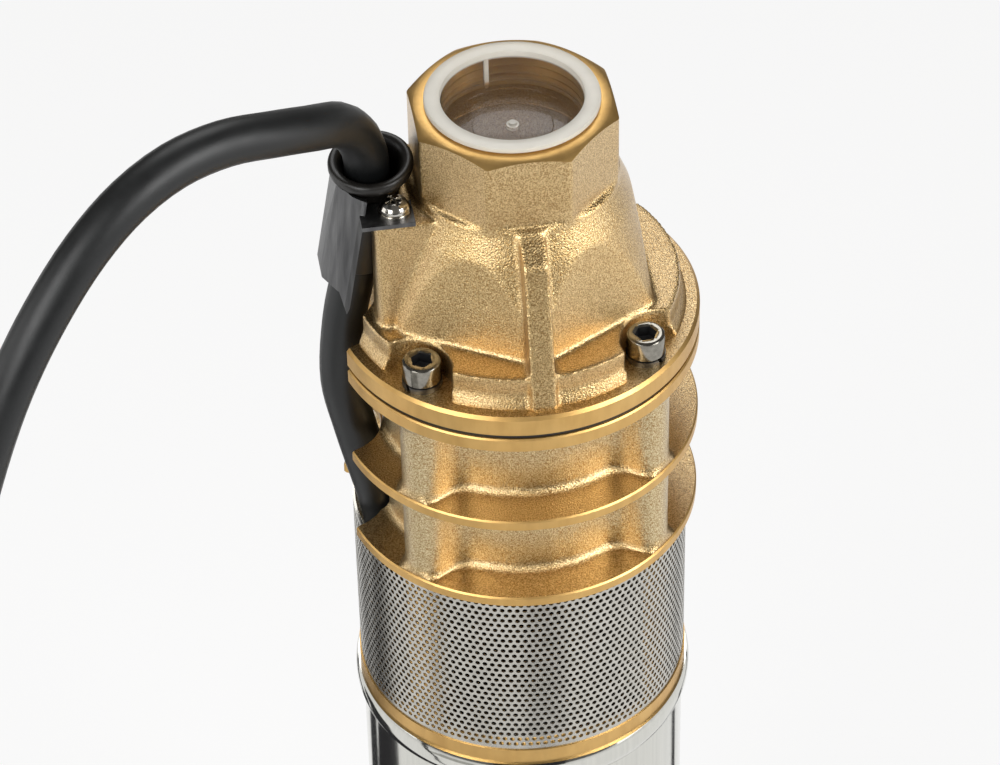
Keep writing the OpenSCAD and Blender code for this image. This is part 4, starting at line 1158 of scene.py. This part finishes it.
def motor_casing():
    """The tube with its rolled bead."""
    tube = [(CASING_R - CASING_T, z_cover), (CASING_R - 0.3, z_cover), (CASING_R, z_cover + 0.3)]
    straight = z_motor - BEAD_H - z_cover
    tube += [(CASING_R, z_cover + straight * i / TUBE_STEPS) for i in range(1, TUBE_STEPS + 1)]
    for i in range(1, BEAD_STEPS + 1):
        share = i / BEAD_STEPS
        swell = math.sin(math.pi / 2 * min(share / BEAD_FULL, 1.0)) ** 0.8
        fall = BEAD_DROP * max(0.0, (share - BEAD_FALLS) / (1 - BEAD_FALLS)) ** 2
        tube.append((CASING_R + BEAD_OUT * swell - fall, z_motor - BEAD_H * (1 - share)))
    tube += [(CASING_R + 0.6, z_motor), (CASING_R - CASING_T, z_motor)]
    bm = bmesh.new()
    loft(bm, degrees(0, 360, 1.5), [(reach, height, 0) for reach, height in tube], closed=True)
    hand_over("motor_casing_rolled", bm, ["motor_casing"], ["polished_steel"], 40.0)


motor_casing()

# %% [markdown]
# ## Broken edges
# The clamp and its screws have the right shape already, but real edges are never sharp: they are broken
# by a file or rounded by the press, and catch the light. A shader can fake that only in a render, so a
# copy of each solid gets a small bevel on its sharp edges.

# %% Broken edges
BEVEL_ANGLE, CLAMP_BEVEL, SCREW_BEVEL = 32, 0.3, 0.12


def edges_broken(node, name, slot, width):
    """A copy of a CAD node with its sharp edges rounded."""
    piece = hand_over(name, copy_of(node), [node], [slot], 30.0)
    bevel = piece.modifiers.new("broken_edges", "BEVEL")
    bevel.width = width * MM
    bevel.segments = 2
    bevel.limit_method = "ANGLE"
    bevel.angle_limit = math.radians(BEVEL_ANGLE)
    bevel.harden_normals = False


edges_broken("cable_clamp", "cable_clamp_bent", "stainless", CLAMP_BEVEL)
edges_broken("clamp_screws", "clamp_screws_pan", "bright_steel", SCREW_BEVEL)

# %% [markdown]
# ## Floor
# A catalogue photograph shows the pump on plain white. More light would whiten the floor, but burn out
# the brass. So the floor shines white by itself where the camera or a reflection sees it, by way of
# Light Path, and a share of it stays plain grey, which keeps the pump's shadow.

# %% Floor
FLOOR_HALF, FLOOR_CELLS, FLOOR_GREY, WHITE_SHARE = 4.0, 8, (0.85, 0.85, 0.85, 1.0), 0.8


def staged(name, bm, skin):
    """A flat thing round the pump that is no part of it."""
    mesh = mesh_of(name, bm)
    mesh.materials.append(skin)
    made = placed(name, mesh)
    return made


def white_floor():
    paint = Paint("white_floor")
    camera = paint.node("ShaderNodeLightPath", output="Is Camera Ray")
    rays = camera.socket.node.outputs
    glossy, through = Wire(paint, rays["Is Glossy Ray"]), Wire(paint, rays["Is Transmission Ray"])
    seen = camera.math("MAXIMUM", glossy).math("MAXIMUM", through)
    lit = paint.node("ShaderNodeBsdfDiffuse", {"Color": FLOOR_GREY})
    return paint.blend(seen * WHITE_SHARE, lit, paint.node("ShaderNodeEmission"))


def make_floor():
    """A large floor under the pump."""
    bm = bmesh.new()
    bmesh.ops.create_grid(bm, x_segments=FLOOR_CELLS, y_segments=FLOOR_CELLS, size=FLOOR_HALF)
    staged("floor", bm, white_floor())
    print("floor:", 2 * FLOOR_HALF, "m wide, white by", WHITE_SHARE)


make_floor()

# %% [markdown]
# ## Lamps
# Soft lamps stand at both sides and behind. The room above is darker than the floor: upright faces
# mirror the floor and look pale, and level ones mirror the room and the brass beside them and look
# brown. A picture of a studio could light the pump too, but lamps are easier to move one by one.

# %% Lamps
LAMP_AIM = (0.0, 0.0, 0.4)
LAMPS = [
    ("left_softbox", (-0.78, -0.68, 1.10), 0.7, 8.0),
    ("left_front_lamp", (-0.69, -0.93, 0.71), 0.5, 3.0),
    ("left_low_lamp", (-1.14, 0.07, 0.56), 0.8, 3.0),
    ("right_softbox", (0.84, -0.68, 1.02), 0.7, 11.0),
    ("right_low_lamp", (1.04, -0.46, 0.56), 0.8, 3.0),
    ("back_lamp", (0.1, 1.0, 1.5), 0.8, 6.0),
]
ROOM_COLOUR, ROOM_STRENGTH = (0.5, 0.48, 0.45, 1.0), 0.3


def add_lamp(name, place, size, power):
    """A soft square lamp at a place in metres, turned to the pump."""
    data = bpy.data.lights.new(name, "AREA")
    data.size = size
    data.energy = power
    lamp = placed(name, data)
    lamp.location = place
    lamp.rotation_euler = (Vector(LAMP_AIM) - Vector(place)).to_track_quat("-Z", "Y").to_euler()


def make_room():
    """The dim room beyond the lamps."""
    world = bpy.data.worlds.new("room")
    world.use_nodes = True
    background = world.node_tree.nodes["Background"]
    background.inputs["Color"].default_value = ROOM_COLOUR
    background.inputs["Strength"].default_value = ROOM_STRENGTH
    bpy.context.scene.world = world
    bpy.context.scene.view_settings.view_transform = "Standard"


for lamp in LAMPS:
    add_lamp(*lamp)
make_room()
print("lamps:", len(LAMPS), "of", sum(lamp[3] for lamp in LAMPS), "W together")

# %% [markdown]
# ## Cards
# Shiny metal looks flat if all that it mirrors is white. A photographer lays dark and grey cards round
# the thing, out of the picture, and their reflections draw its edges. These do the same: the camera
# doesn't see them, they cast no shadow, and only shiny faces show them.

# %% Cards
DARK_CARDS = [
    ((-0.28, 0.16, 0.002), (0, 0, 150), (0.5, 0.12)),
    ((-0.2, 0.26, 0.002), (0, 0, 128), (0.5, 0.06)),
    ((0.3, 0.2, 0.002), (0, 0, 34), (0.5, 0.03)),
    ((0.03, -0.33, 0.002), (0, 0, 8), (0.15, 0.07)),
    ((-0.2, -1.5, 0.3), (90, 0, 8), (1.2, 0.5)),
]
GREY_CARD = ((-0.56, -0.49, 0.002), (0, 0, 41), (0.6, 0.36))
CARD_ROUGHNESS = 0.9


def add_card(name, skin, place, turn, size):
    """A card in metres, out of the camera's sight, that shiny faces mirror."""
    bm = bmesh.new()
    bmesh.ops.create_grid(bm, x_segments=1, y_segments=1, size=0.5)
    bmesh.ops.scale(bm, vec=(*size, 1), verts=bm.verts)
    lie = Euler([math.radians(angle) for angle in turn]).to_matrix()
    bmesh.ops.rotate(bm, matrix=lie, verts=bm.verts)
    bmesh.ops.translate(bm, vec=place, verts=bm.verts)
    card = staged(name, bm, skin)
    card.visible_camera = False
    card.visible_diffuse = False
    card.visible_shadow = False


dark_card = Paint("dark_card").set(base_color=rgb(40, 40, 44), roughness=CARD_ROUGHNESS)
grey_card = Paint("grey_card").set(base_color=rgb(165, 165, 162), roughness=CARD_ROUGHNESS)
for one in DARK_CARDS:
    add_card("dark_card", dark_card, *one)
add_card("grey_card", grey_card, *GREY_CARD)
print("cards:", len(DARK_CARDS), "dark and one grey")
